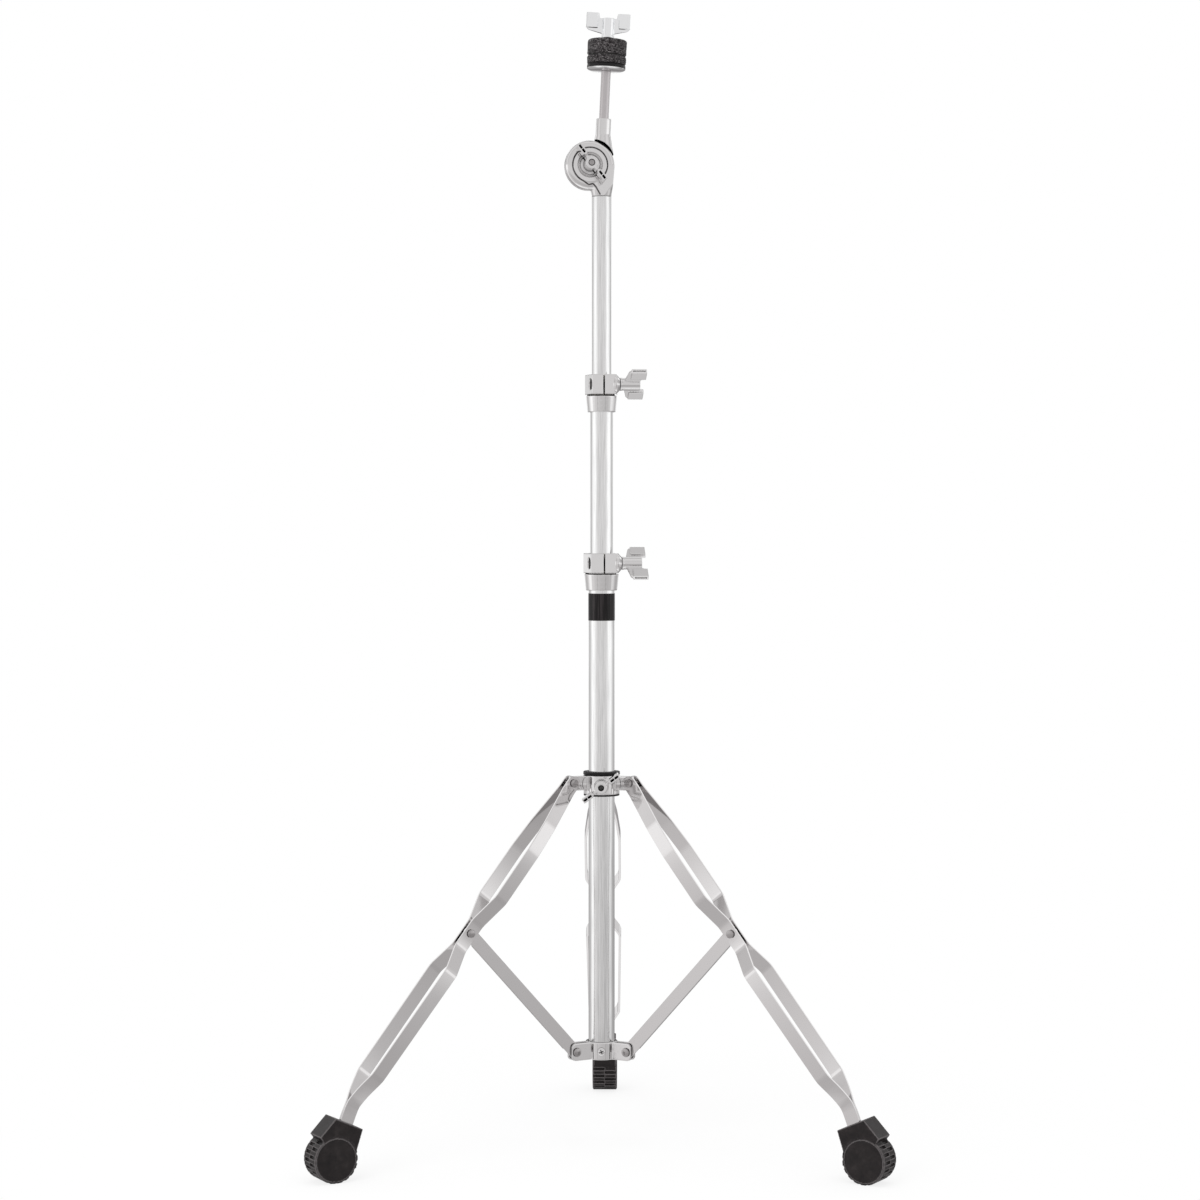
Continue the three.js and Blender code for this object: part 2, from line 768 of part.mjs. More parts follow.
// A station of a strip is its distance along the leg, its offset and half its width there
function stripStations() {
  const radius = stripWidth / 2;
  const end = [];
  for (let step = 1; step < stripEndSteps; step += 1) {
    const angle = step * Math.PI / (2 * stripEndSteps);
    end.push([-radius * Math.cos(angle), stripAtCollar, radius * Math.sin(angle)]);
  }
  return [...end, ...easedOffsets().map(([along, offset]) => [along, offset, radius])];
}

function stripBand() {
  const stations = stripStations();
  const centres = stations.map(([along, offset]) => {
    const [reach, height] = legPoint(along);
    return new THREE.Vector3(reach, offset, height);
  });
  const last = centres.length - 1;
  const positions = [];
  centres.forEach((centre, i) => {
    const into = centre.clone().sub(centres[Math.max(i - 1, 0)]).normalize();
    const onward = centres[Math.min(i + 1, last)].clone().sub(centre).normalize();
    const tangent = into.clone().add(onward).normalize();
    const mitre = 1 / tangent.dot(i > 0 ? into : onward);
    const across = new THREE.Vector3(-tangent.z, 0, tangent.x).setLength(stations[i][2]);
    const outward = new THREE.Vector3().crossVectors(tangent, across).setLength(mitre * stripThickness / 2);
    for (const [a, b] of [[-1, -1], [1, -1], [1, 1], [-1, 1]]) {
      const corner = centre.clone().addScaledVector(across, a).addScaledVector(outward, b);
      positions.push(corner.x, corner.y, corner.z);
    }
  });
  const index = [];
  const quad = (a, b, c, d) => index.push(a, b, c, a, c, d);
  for (let i = 0; i < last; i += 1) {
    for (let side = 0; side < 4; side += 1) {
      const next = (side + 1) % 4;
      quad(4 * i + side, 4 * i + next, 4 * (i + 1) + next, 4 * (i + 1) + side);
    }
  }
  quad(3, 2, 1, 0);
  quad(4 * last, 4 * last + 1, 4 * last + 2, 4 * last + 3);
  const geometry = new THREE.BufferGeometry();
  geometry.setAttribute('position', new THREE.Float32BufferAttribute(positions, 3));
  geometry.setIndex(index);
  return geometry;
}

function legStrip() {
  const hole = pinHole(rivetRadius + gap, stripSpread);
  const collarHole = hole.clone().translate(collarPivotReach, 0, collarPivotHeight);
  const pivotHole = hole.clone().translate(legPivotReach, 0, legPivotHeight);
  return cut(stripBand(), collarHole, pivotHole);
}

// The pivot rivet in the middle of a leg shows as a headed stud on each strip
function pivotStud() {
  const inner = stripAtPivot - stripThickness / 2;
  const outer = stripAtPivot + stripThickness / 2 + gap;
  return toFront(join(
    disc(rivetRadius, -outer - gap, -inner, pinSides),
    disc(rivetHeadRadius, -outer - rivetHeadHeight, -outer, pinSides),
  ));
}

// Feet

const footHeight = wheelRadius - wheelWear;
const footReach = legPoint(legLength)[0] + footAxisBeyondStrips;

// The outline of one row of lugs, whose lowest lugs are worn flat by the floor
function treadOutline(phase) {
  const points = [];
  const pitch = 2 * Math.PI / treadLugs;
  const half = pitch * treadLugShare / 2;
  for (let lug = 0; lug < treadLugs; lug += 1) {
    const middle = (lug + phase) * pitch - Math.PI / 2;
    for (const [radius, angle] of [
      [wheelRoot, middle - half],
      [wheelRadius, middle - half],
      [wheelRadius, middle + half],
      [wheelRoot, middle + half],
    ]) {
      points.push([radius * Math.cos(angle), Math.max(radius * Math.sin(angle), -footHeight)]);
    }
  }
  return points;
}

function footBlock() {
  const share = ([x, z]) => [x * wheelRadius, z * wheelRadius];
  const outline = [
    share(footInnerCornerShares),
    share(footInnerEdgeShares),
    [0, 0],
    share(footFenderShares),
    share(footOuterCornerShares),
    [0, footBlockTop],
  ];
  return plate(outline, -footBlockWidth / 2, footBlockWidth / 2);
}

function foot() {
  const half = treadWidth / 2;
  const face = half + wheelFace;
  const strips = stripAtFoot + stripThickness / 2 + gap;
  const pocket = box(-stripWidth / 2 - gap, stripWidth / 2 + gap, -strips, strips, -gap, footBlockTop);
  pocket.rotateY(-degrees(legFootAngle)).translate(-footAxisBeyondStrips, 0, legEndHeight - footHeight);
  return cut(
    join(
      plate(treadOutline(0), -half, gap / 2),
      plate(treadOutline(1 / 2), -gap / 2, half),
      toFront(disc(wheelFaceRadius, -face, face)),
      footBlock(),
    ),
    pocket,
  );
}

// Braces

const braceLength = Math.hypot(legPivotReach - bracketPivotReach, legPivotHeight - bracketPivotHeight);
const braceAngle = Math.atan2(legPivotHeight - bracketPivotHeight, legPivotReach - bracketPivotReach);

function brace() {
  const half = braceWidth / 2;
  const shape = new THREE.Shape();
  shape.absarc(0, 0, half, Math.PI / 2, 3 * Math.PI / 2, false);
  shape.absarc(braceLength, 0, half, -Math.PI / 2, Math.PI / 2, false);
  const web = plate(shape, -braceDepth / 2, -braceDepth / 2 + braceSheet);
  const from = braceFlangeSetback;
  const to = braceLength - braceFlangeSetback;
  const flanges = [-half, half - braceSheet].map((edge) => (
    box(from, to, -braceDepth / 2, braceDepth / 2, edge, edge + braceSheet)
  ));
  const hole = pinHole(rivetRadius + gap, braceDepth);
  return cut(join(web, ...flanges), hole, hole.clone().translate(braceLength, 0, 0));
}

// The mirror image across the leg's plane, with each triangle turned face out again
function mirrored(geometry) {
  const image = geometry.clone().scale(1, -1, 1);
  image.index.array.reverse();
  return image;
}

function addLeg(side, azimuth) {
  const frame = group(stand, [0, 0, 0], [0, 0, azimuth]);
  const sheet = legStrip();
  const strips = { left: ['front', 'back'], right: ['back', 'front'], rear: ['left', 'right'] }[side];
  const stud = pivotStud().translate(legPivotReach, 0, legPivotHeight);
  piece(`${side}_leg_${strips[0]}_strip`, sheet, 'stripChrome', frame);
  piece(`${side}_leg_${strips[1]}_strip`, mirrored(sheet), 'stripChrome', frame);
  piece(`${side}_leg_${strips[0]}_rivet`, stud, 'steel', frame);
  piece(`${side}_leg_${strips[1]}_rivet`, mirrored(stud), 'steel', frame);
  piece(`${side}_foot`, foot(), 'rubber', group(frame, [footReach, 0, footHeight]));
  const rise = THREE.MathUtils.radToDeg(braceAngle);
  const braceFrame = group(frame, [bracketPivotReach, 0, bracketPivotHeight], [0, -rise, 0]);
  const braceBody = side === 'left' ? mirrored(brace()) : brace();
  piece(`${side}_brace`, braceBody, 'stripChrome', braceFrame);
}

// Tilter. Its origin is the hinge axis, which lies along Y. The tube and the rod stand to its right.

const plateInner = tilterPad / 2 + gap;
const plateOuter = plateInner + tilterPlate;
const neckBottom = -tilterAxisHeight + gap;

function tilterDisc() {
  return toFront(turned([
    [0, plateInner],
    [tilterRadius, plateInner],
    [tilterRadius, plateOuter - tilterRimStep],
    [tilterRadius - tilterRimStep / 2, plateOuter - tilterRimStep / 3],
    [tilterPlateau + tilterPlateauStep, plateOuter - tilterPlateauStep / 2],
    [tilterPlateau, plateOuter - tilterPlateauStep],
    [tilterPlateau - tilterPlateauStep, plateOuter],
    [0, plateOuter],
  ], tubeSides));
}

// The round seat for the wing nut, or for the bolt's head, and the bolt's hole
function tilterBolting() {
  const seat = toFront(disc(tilterRecessRadius, plateOuter - tilterRecess, plateOuter + overrun));
  return join(seat, pinHole(boltRadius + gap, tilterRadius));
}

function tilterNeck() {
  const right = tilterOffset + topTubeRadius;
  const left = tilterOffset - topTubeRadius;
  const outline = [
    [0, 0],
    [left - tilterOffset / 2, -tilterRadius + tilterNeckFlare],
    [left, neckBottom],
    [right, neckBottom],
    [tilterRadius, 0],
  ];
  const body = plate(outline, -tilterNeckHalfDepth, tilterNeckHalfDepth);
  const rounding = turned([
    [0, neckBottom - overrun],
    [tilterNeckHalfDepth, neckBottom - overrun],
    [tilterNeckHalfDepth, neckBottom],
    [tilterNeckHalfDepth + tilterNeckFlare, -tilterRadius],
    [tilterRadius, 0],
    [0, 0],
  ], tubeSides).translate(tilterOffset, 0, 0);
  return common(body, rounding);
}

// The hole for the pin that holds the tilter's spigot in the top tube
function crossPinHole() {
  const end = topTubeRadius + overrun;
  return alongX(disc(tilterPinRadius + gap, -end, end, pinSides));
}

function tilterBase() {
  const spigotRadius = topTubeRadius - tubeWall - gap;
  const spigot = disc(spigotRadius, neckBottom - tilterSpigot, neckBottom, tubeSides);
  const clearance = toFront(disc(tilterRadius + tilterRimGap, -tilterRadius, plateInner, tubeSides));
  const neck = cut(join(tilterNeck(), spigot.translate(tilterOffset, 0, 0)), clearance);
  return cut(
    join(neck, tilterDisc()),
    tilterBolting(),
    crossPinHole().translate(tilterOffset, 0, neckBottom - tilterPinDrop),
  );
}

function tilterHead() {
  const rim = tilterRadius + tilterSaddleGap;
  const right = tilterOffset + socketRadius;
  const outline = [
    [0, 0],
    [rim * Math.cos(degrees(tilterSaddleFrom)), rim * Math.sin(degrees(tilterSaddleFrom))],
    [right + tilterSaddleGap, tilterOffset + socketRadius],
    [right, socketBottom],
    [tilterOffset - socketRadius, socketBottom],
    [tilterSaddleGap / 2, tilterRadius + tilterSaddleLip],
  ];
  const flare = turned([
    [0, 0],
    [tilterNeckHalfDepth + tilterNeckFlare, 0],
    [tilterNeckHalfDepth + tilterNeckFlare, tilterOffset],
    [socketRadius, socketBottom],
    [0, socketBottom],
  ], tubeSides).translate(tilterOffset, 0, 0);
  const saddle = common(plate(outline, -tilterNeckHalfDepth, tilterNeckHalfDepth), flare);
  const clearance = toFront(disc(rim, -plateInner, tilterRadius, tubeSides));
  const socket = disc(socketRadius, socketBottom, socketTop, roundSides).translate(tilterOffset, 0, 0);
  const rear = tilterDisc().rotateZ(Math.PI);
  return cut(
    join(cut(saddle, clearance), socket, rear),
    tilterBolting().rotateZ(Math.PI),
    disc(rodRadius + gap, socketFloor, socketTop + overrun, roundSides).translate(tilterOffset, 0, 0),
  );
}

function feltPad(height, inner) {
  return turned([
    [inner, 0],
    [feltRadius - feltCorner, 0],
    [feltRadius, feltCorner],
    [feltRadius, height - feltCorner],
    [feltRadius - feltCorner, height],
    [inner, height],
    [inner, 0],
  ], tubeSides);
}

function addCymbalSeat(head) {
  const rod = group(head, [tilterOffset, 0, 0]);
  const washerBottom = rodShoulder + gap;
  const seatBottom = washerBottom + cupWasherHeight + gap;
  const lowerBottom = seatBottom + feltSeatHeight + gap;
  const upperBottom = lowerBottom + lowerFeltHeight + gap;
  const nutWasherBottom = upperBottom + upperFeltHeight + gap;
  const nutBottom = nutWasherBottom + nutWasherHeight + gap;
  const rodTop = nutBottom + wingNutHubTop - boltEndInset;
  const bore = rodThreadRadius + gap;
  const sleeveRadius = bore + sleeveWall;
  const feltBore = sleeveRadius + gap;
  const shaft = turned([
    [0, socketFloor + gap],
    [rodRadius, socketFloor + gap],
    [rodRadius, rodShoulder],
    [rodThreadRadius, rodShoulder],
    [rodThreadRadius, rodTop],
    [0, rodTop],
  ], roundSides);
  piece('cymbal_rod', shaft, 'tubeChrome', rod);
  const washer = turned([
    [bore, 0],
    [cupWasherBottomRadius, 0],
    [cupWasherRadius, cupWasherHeight],
    [bore, cupWasherHeight],
    [bore, 0],
  ], roundSides);
  piece('cup_washer', washer, 'tubeChrome', group(rod, [0, 0, washerBottom]));
  const seat = ring(feltSeatRadius, feltBore, 0, feltSeatHeight);
  piece('felt_seat', seat, 'blackNylon', group(rod, [0, 0, seatBottom]));
  piece('lower_felt', feltPad(lowerFeltHeight, feltBore), 'felt', group(rod, [0, 0, lowerBottom]));
  piece('upper_felt', feltPad(upperFeltHeight, feltBore), 'felt', group(rod, [0, 0, upperBottom]));
  const sleeve = ring(sleeveRadius, bore, seatBottom, nutWasherBottom - gap);
  piece('cymbal_sleeve', sleeve, 'blackNylon', rod);
  const nutWasher = ring(nutWasherRadius, bore, 0, nutWasherHeight);
  piece('nut_washer', nutWasher, 'steel', group(rod, [0, 0, nutWasherBottom]));
  piece('cymbal_wing_nut', wingNut(rodThreadRadius), 'castChrome', group(rod, [0, 0, nutBottom]));
}

function addTopTube() {
  const frame = group(stand, [0, 0, topTubeTop], [0, 0, tilterYaw]);
  const pinHeight = gap - tilterPinDrop;
  const wall = ring(topTubeRadius, topTubeRadius - tubeWall, -topTubeLength, 0, tubeSides);
  const wallHole = crossPinHole().translate(0, 0, pinHeight);
  piece('top_tube', cut(wall, wallHole), 'tubeChrome', frame);
  const foot = group(frame, [0, 0, -topTubeLength - gap]);
  piece('top_tube_glide', glide(topTubeRadius, midTubeRadius), 'paleNylon', foot);
  const pin = disc(tilterPinRadius, gap - topTubeRadius, topTubeRadius - gap, pinSides);
  piece('tilter_base_pin', alongX(pin).translate(0, 0, pinHeight), 'steel', frame);

  const hinge = group(frame, [-tilterOffset, 0, tilterAxisHeight]);
  piece('tilter_base', tilterBase(), 'castChrome', hinge);
  const pad = toFront(ring(tilterPadRadius, boltRadius + gap, -tilterPad / 2, tilterPad / 2));
  piece('tilter_brake_pad', pad, 'blackNylon', hinge);
  const recess = plateOuter - tilterRecess;
  const nutSeat = recess + gap;
  const boltEnd = nutSeat + wingNutHubTop - boltEndInset;
  const bolt = join(
    disc(boltHeadRadius, -recess - gap - boltHeadHeight, -recess - gap, hexSides),
    disc(boltRadius, -recess - gap - boltEndInset, boltEnd, pinSides),
  );
  piece('tilter_bolt', toFront(bolt), 'steel', hinge);
  const nutFrame = group(hinge, [0, -nutSeat, 0], [0, tilterWingTurn, 0]);
  piece('tilter_wing_nut', toFront(wingNut(boltRadius)), 'castChrome', nutFrame);

  const head = group(hinge, [0, 0, 0], [0, tilterLean, 0]);
  piece('tilter_head', tilterHead(), 'castChrome', head);
  addCymbalSeat(head);
}

addBaseTube();
addBracket();
addCollar();
addMiddleTube();
for (const [side, azimuth] of Object.entries(legAzimuths)) {
  addLeg(side, azimuth);
}
addTopTube();

// The origin is on the floor, in the middle of the outline seen from above
const outlineBox = new THREE.Box3().setFromObject(stand);
const middle = outlineBox.getCenter(new THREE.Vector3());
stand.position.set(-middle.x, -middle.y, 0);

export default stand;
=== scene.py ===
# %% [markdown]
# # Dressing a straight cymbal stand
#
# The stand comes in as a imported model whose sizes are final. This lesson gives it its surfaces:
# polished chrome tubes, chromed castings with soft corners, bent strip legs, rubber feet and wool
# felts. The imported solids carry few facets, which is good for physics but shows in a mirror finish.
# So each gets a finer piece in its place, which moves with the body that the solid belongs to.

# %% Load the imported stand
import json
import math

import bpy
from mathutils import Matrix, Vector, noise

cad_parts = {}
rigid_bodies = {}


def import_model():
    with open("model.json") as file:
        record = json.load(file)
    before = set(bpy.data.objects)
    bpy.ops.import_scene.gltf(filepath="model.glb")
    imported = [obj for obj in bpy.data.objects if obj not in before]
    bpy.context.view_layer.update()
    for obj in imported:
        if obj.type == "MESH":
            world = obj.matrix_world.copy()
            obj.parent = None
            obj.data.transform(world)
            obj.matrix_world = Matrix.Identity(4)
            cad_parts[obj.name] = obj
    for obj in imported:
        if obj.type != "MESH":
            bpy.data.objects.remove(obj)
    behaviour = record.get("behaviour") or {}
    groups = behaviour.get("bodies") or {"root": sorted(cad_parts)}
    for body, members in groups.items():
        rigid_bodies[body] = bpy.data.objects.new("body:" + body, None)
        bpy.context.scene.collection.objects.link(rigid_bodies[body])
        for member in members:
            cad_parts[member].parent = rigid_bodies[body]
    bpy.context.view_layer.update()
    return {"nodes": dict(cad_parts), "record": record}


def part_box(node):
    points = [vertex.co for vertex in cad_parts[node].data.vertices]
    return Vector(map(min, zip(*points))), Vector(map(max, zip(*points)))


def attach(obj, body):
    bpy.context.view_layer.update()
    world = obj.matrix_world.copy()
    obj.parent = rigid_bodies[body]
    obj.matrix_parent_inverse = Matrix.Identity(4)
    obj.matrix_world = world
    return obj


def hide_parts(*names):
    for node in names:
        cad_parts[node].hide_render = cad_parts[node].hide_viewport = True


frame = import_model()
record = frame["record"]
body_of_node = {
    node: body for body, nodes in record["behaviour"]["bodies"].items() for node in nodes
}
slot_of_node = {part["node"]: part["material_slot"] for part in record["subparts"]}
mm = 0.001

# %% [markdown]
# ## The camera
#
# The photograph was taken from far away with the camera nearly level: upright edges stay parallel.
# A long lens at almost three metres gives the same view. A small shift stands in for the crop.
# Everything is measured from the pole, the line up the middle of the base tube.

# %% Place the camera
tube_low, tube_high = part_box("base_tube")
pole = (tube_low + tube_high) / 2
view_distance = 2.804
view_height = 0.6198
view_turn = math.radians(0.7)
view_pitch = math.radians(0.524)
photo_width = 1200
focal_length_in_pixels = 2874
crop_in_pixels = (-1.6, -60)
sensor_width = 36

camera_data = bpy.data.cameras.new("photo_camera")
camera_data.sensor_width = sensor_width
camera_data.lens = focal_length_in_pixels / photo_width * sensor_width
camera_data.shift_x, camera_data.shift_y = (shift / photo_width for shift in crop_in_pixels)
camera_data.clip_start = 0.1
camera_data.clip_end = 50
camera = bpy.data.objects.new("photo_camera", camera_data)
bpy.context.scene.collection.objects.link(camera)
camera.location = (
    pole.x + view_distance * math.sin(view_turn),
    pole.y - view_distance * math.cos(view_turn),
    view_height,
)
camera.rotation_euler = (math.pi / 2 - view_pitch, 0, view_turn)
bpy.context.scene.camera = camera
print(f"camera: {camera_data.lens:.1f} mm lens at {view_distance} m")

# %% [markdown]
# ## Helpers for materials
#
# Colours are written as the hex values that one would pick from a picture, and one function turns
# them into the linear values that shaders expect. A second one adds a node and sets or links its
# inputs, so each material below is a short list of nodes that ends in one shader.

# %% Material helpers
finishes = {}
# Few rays are enough to find a crease, and almost all values of a noise texture lie in this span.
few_rays = 12
noise_span = {"From Min": 0.3, "From Max": 0.7}


def linear_colour(code):
    """An sRGB hex value as linear red, green, blue and alpha."""
    channels = [int(code[i:i + 2], 16) / 255 for i in (0, 2, 4)]
    linear = [c / 12.92 if c <= 0.04045 else ((c + 0.055) / 1.055) ** 2.4 for c in channels]
    return linear + [1.0]


def add_node(tree, kind, inputs=None, **settings):
    """Adds a node with its inputs and settings. An input is a value, or a socket to link.

    A node that is given as an input stands for its first output.
    """
    made = tree.nodes.new(kind)
    for setting, value in settings.items():
        setattr(made, setting, value)
    for socket, value in (inputs or {}).items():
        if isinstance(value, bpy.types.Node):
            value = value.outputs[0]
        if isinstance(value, bpy.types.NodeSocket):
            tree.links.new(value, made.inputs[socket])
        else:
            made.inputs[socket].default_value = value
    return made


def start_material(name):
    """An empty material. Returns it with its node tree and its Object coordinates."""
    material = bpy.data.materials.new(name)
    material.use_nodes = True
    tree = material.node_tree
    tree.nodes.clear()
    return material, tree, add_node(tree, "ShaderNodeTexCoord").outputs["Object"]


def end_material(material, shader_inputs):
    """Ends a material with one Principled shader, whose inputs are values and links."""
    tree = material.node_tree
    shader = add_node(tree, "ShaderNodeBsdfPrincipled", shader_inputs)
    add_node(tree, "ShaderNodeOutputMaterial", {"Surface": shader})
    return material


def set_ramp(ramp_node, stops):
    """Gives a colour ramp its stops, each a position and a hex colour."""
    ramp = ramp_node.color_ramp
    while len(ramp.elements) > 1:
        ramp.elements.remove(ramp.elements[-1])
    for i, (position, code) in enumerate(stops):
        stop = ramp.elements[0] if i == 0 else ramp.elements.new(position)
        stop.position = position
        stop.color = linear_colour(code)


def recoloured(material, name, stops):
    """A copy of a material whose one colour ramp has other stops."""
    made = material.copy()
    made.name = name
    set_ramp(next(node for node in made.node_tree.nodes if node.type == "VALTORGB"), stops)
    return made


# %% [markdown]
# ## Chrome
#
# Decorative chrome is a very thin hard layer over polished nickel, a bright and nearly neutral
# mirror. What differs from piece to piece is the metal under it. A drawn and polished tube keeps
# long faint streaks and an almost perfect mirror. A die casting has a gentle orange peel. Rolled
# strip is plated over its fine even grain, with a duller patch here and there.

# %% Polished tube chrome
# Streaks from drawing are about 0.5 mm apart, drawn here at 1 mm, and long up the tube.
material, tree, place = start_material("chromed_drawn_tube")
stretched = add_node(tree, "ShaderNodeMapping", {"Vector": place, "Scale": (1.0, 1.0, 0.03)})
streaks = add_node(tree, "ShaderNodeTexNoise", {
    "Vector": stretched, "Scale": 1000.0, "Detail": 3.0, "Roughness": 0.6,
})
roughness = add_node(tree, "ShaderNodeMapRange", {
    "Value": streaks, **noise_span, "To Min": 0.06, "To Max": 0.12,
})
drawn = add_node(tree, "ShaderNodeValToRGB", {"Fac": streaks})
set_ramp(drawn, [(0.36, "dadada"), (0.5, "e6e6e6"), (0.64, "eeeeee")])
waves = add_node(tree, "ShaderNodeTexNoise", {"Vector": stretched, "Scale": 160.0})
bump = add_node(tree, "ShaderNodeBump", {"Height": waves, "Strength": 0.015, "Distance": 0.0002})
finishes["tube_chrome"] = end_material(material, {
    "Base Color": drawn, "Metallic": 1.0, "Roughness": roughness, "Normal": bump,
})

# %% Chromed die casting
# Orange peel on a small zinc casting has humps of about 1.5 mm. The base colour carries painted
# shade: occlusion over 2.5 mm darkens the creases towards black, and occlusion over 9 mm darkens the
# deeper pockets. The top wing nut is bright nickel: the same nodes, painted shade included, with a
# paler ramp.
material, tree, place = start_material("chromed_die_casting")
crease_occlusion = add_node(tree, "ShaderNodeAmbientOcclusion", {"Distance": 0.0025}, samples=few_rays)
pocket_occlusion = add_node(tree, "ShaderNodeAmbientOcclusion", {"Distance": 0.009}, samples=few_rays)
# Painted shade: the pocket occlusion scales the colour down to near black in deep pockets.
depth = add_node(tree, "ShaderNodeMapRange", {
    "Value": pocket_occlusion.outputs["AO"], "From Min": 0.3, "From Max": 0.62, "To Min": 0.04,
})
# Painted shade: the crease occlusion picks dark tones in creases and chrome tones on open faces.
chrome_with_crease_shade = add_node(tree, "ShaderNodeValToRGB", {"Fac": crease_occlusion.outputs["AO"]})
set_ramp(chrome_with_crease_shade, [
    (0.0, "0b0a0b"), (0.35, "1d1b1c"), (0.52, "5d5b5c"), (0.68, "c4c2c2"), (0.8, "e2e1e1"),
])
shaded = add_node(
    tree, "ShaderNodeVectorMath", {"Vector": chrome_with_crease_shade, "Scale": depth}, operation="SCALE",
)
peel = add_node(tree, "ShaderNodeTexNoise", {
    "Vector": place, "Scale": 650.0, "Detail": 2.0, "Roughness": 0.5,
})
handled = add_node(tree, "ShaderNodeTexNoise", {"Vector": place, "Scale": 90.0, "Detail": 3.0})
roughness = add_node(tree, "ShaderNodeMapRange", {
    "Value": handled, **noise_span, "To Min": 0.05, "To Max": 0.09,
})
bump = add_node(tree, "ShaderNodeBump", {"Height": peel, "Strength": 0.06, "Distance": 0.0001})
finishes["cast_chrome"] = end_material(material, {
    "Base Color": shaded, "Metallic": 1.0, "Roughness": roughness, "Normal": bump,
})
finishes["bright_nickel"] = recoloured(material, "bright_nickel_die_casting", [
    (0.0, "0b0a0b"), (0.35, "1d1b1c"), (0.52, "6d6b6c"), (0.68, "e6e7e8"), (0.8, "fbfcfd"),
])

# %% Chromed strip steel
# Rolled strip has a fine even grain. Its 0.2 mm grain is drawn at 0.5 mm so that it shows.
material, tree, place = start_material("chromed_strip_steel")
grain = add_node(tree, "ShaderNodeTexNoise", {
    "Vector": place, "Scale": 2000.0, "Detail": 2.0, "Roughness": 0.6,
})
patches = add_node(tree, "ShaderNodeTexNoise", {"Vector": place, "Scale": 60.0, "Detail": 3.0})
roughness = add_node(tree, "ShaderNodeMapRange", {
    "Value": patches, **noise_span, "To Min": 0.06, "To Max": 0.11,
})
bump = add_node(tree, "ShaderNodeBump", {"Height": grain, "Strength": 0.02, "Distance": 0.00002})
finishes["strip_chrome"] = end_material(material, {
    "Base Color": linear_colour("d5d3d3"), "Metallic": 1.0, "Roughness": roughness, "Normal": bump,
})

# %% [markdown]
# ## Bright steel
#
# Rivets and bolts are zinc plated or plain bright steel. They are a little darker and duller than the
# chrome round them, with fine marks from the heading tool and painted shade in the crease round their
# heads. The clamps' bolts are made near black as painted shade, because only their heads show, deep
# in their seats.

# %% Bright steel fasteners, and near-black clamp bolts as painted shade
material, tree, place = start_material("bright_zinc_steel")
marks = add_node(tree, "ShaderNodeTexNoise", {"Vector": place, "Scale": 1400.0, "Detail": 3.0})
roughness = add_node(tree, "ShaderNodeMapRange", {
    "Value": marks, **noise_span, "To Min": 0.1, "To Max": 0.2,
})
bump = add_node(tree, "ShaderNodeBump", {"Height": marks, "Strength": 0.2, "Distance": 0.0001})
# Painted shade: occlusion darkens the crease round each head.
head_crease_occlusion = add_node(tree, "ShaderNodeAmbientOcclusion", {"Distance": 0.002}, samples=few_rays)
steel_with_crease_shade = add_node(tree, "ShaderNodeValToRGB", {"Fac": head_crease_occlusion.outputs["AO"]})
set_ramp(steel_with_crease_shade, [(0.35, "242223"), (0.6, "6c696a"), (0.8, "a8a5a5")])
finishes["steel"] = end_material(material, {
    "Base Color": steel_with_crease_shade, "Metallic": 1.0, "Roughness": roughness, "Normal": bump,
})
# Painted shade: the clamp bolts' heads are made near black for the shade deep in their seats.
finishes["black_steel"] = recoloured(material, "shade_darkened_steel", [
    (0.35, "0d0b0c"), (0.8, "2a2728"),
])

# %% Satin plated rod
# The rod is plated without polishing, so it blurs the room to an even grey. The marks of
# centreless grinding run round it, about 0.2 mm apart, drawn at 0.5 mm.
material, tree, place = start_material("satin_plated_rod")
ground = add_node(tree, "ShaderNodeMapping", {"Vector": place, "Scale": (0.1, 0.1, 1.0)})
marks = add_node(tree, "ShaderNodeTexNoise", {"Vector": ground, "Scale": 2000.0, "Detail": 2.0})
roughness = add_node(tree, "ShaderNodeMapRange", {
    "Value": marks, **noise_span, "To Min": 0.28, "To Max": 0.4,
})
bump = add_node(tree, "ShaderNodeBump", {"Height": marks, "Strength": 0.1, "Distance": 0.00005})
finishes["satin_rod"] = end_material(material, {
    "Base Color": linear_colour("cbc7c8"), "Metallic": 1.0, "Roughness": roughness, "Normal": bump,
})

# %% [markdown]
# ## Plastics, film and rubber
#
# The band on the base tube is a thin vinyl film, smooth and glossy. The collar's liner and the seat
# under the felts are moulded nylon with a slight sheen, and the liners inside the clamps are the
# same nylon in its natural pale colour. The feet are a dull brown-black rubber, moulded in a
# lightly blasted tool, with a little dust that lightens it in patches.

# %% Black film
# The film is pulled taut round the tube, so its ripples are about 2 mm wide and run up it. The colour
# is paler on the ripples' crests, a painted sheen.
material, tree, place = start_material("black_vinyl_film")
upright = add_node(tree, "ShaderNodeMapping", {"Vector": place, "Scale": (1.0, 1.0, 0.04)})
ripples = add_node(tree, "ShaderNodeTexNoise", {"Vector": upright, "Scale": 420.0, "Detail": 2.0})
# Painted sheen: the crests of the ripples are coloured paler.
tint = add_node(tree, "ShaderNodeValToRGB", {"Fac": ripples})
set_ramp(tint, [(0.4, "0b090a"), (0.52, "161314"), (0.6, "2e2a2b")])
bump = add_node(tree, "ShaderNodeBump", {"Height": ripples, "Strength": 0.15, "Distance": 0.0002})
finishes["black_film"] = end_material(material, {
    "Base Color": tint, "Roughness": 0.12, "IOR": 1.5, "Specular IOR Level": 0.2, "Normal": bump,
})

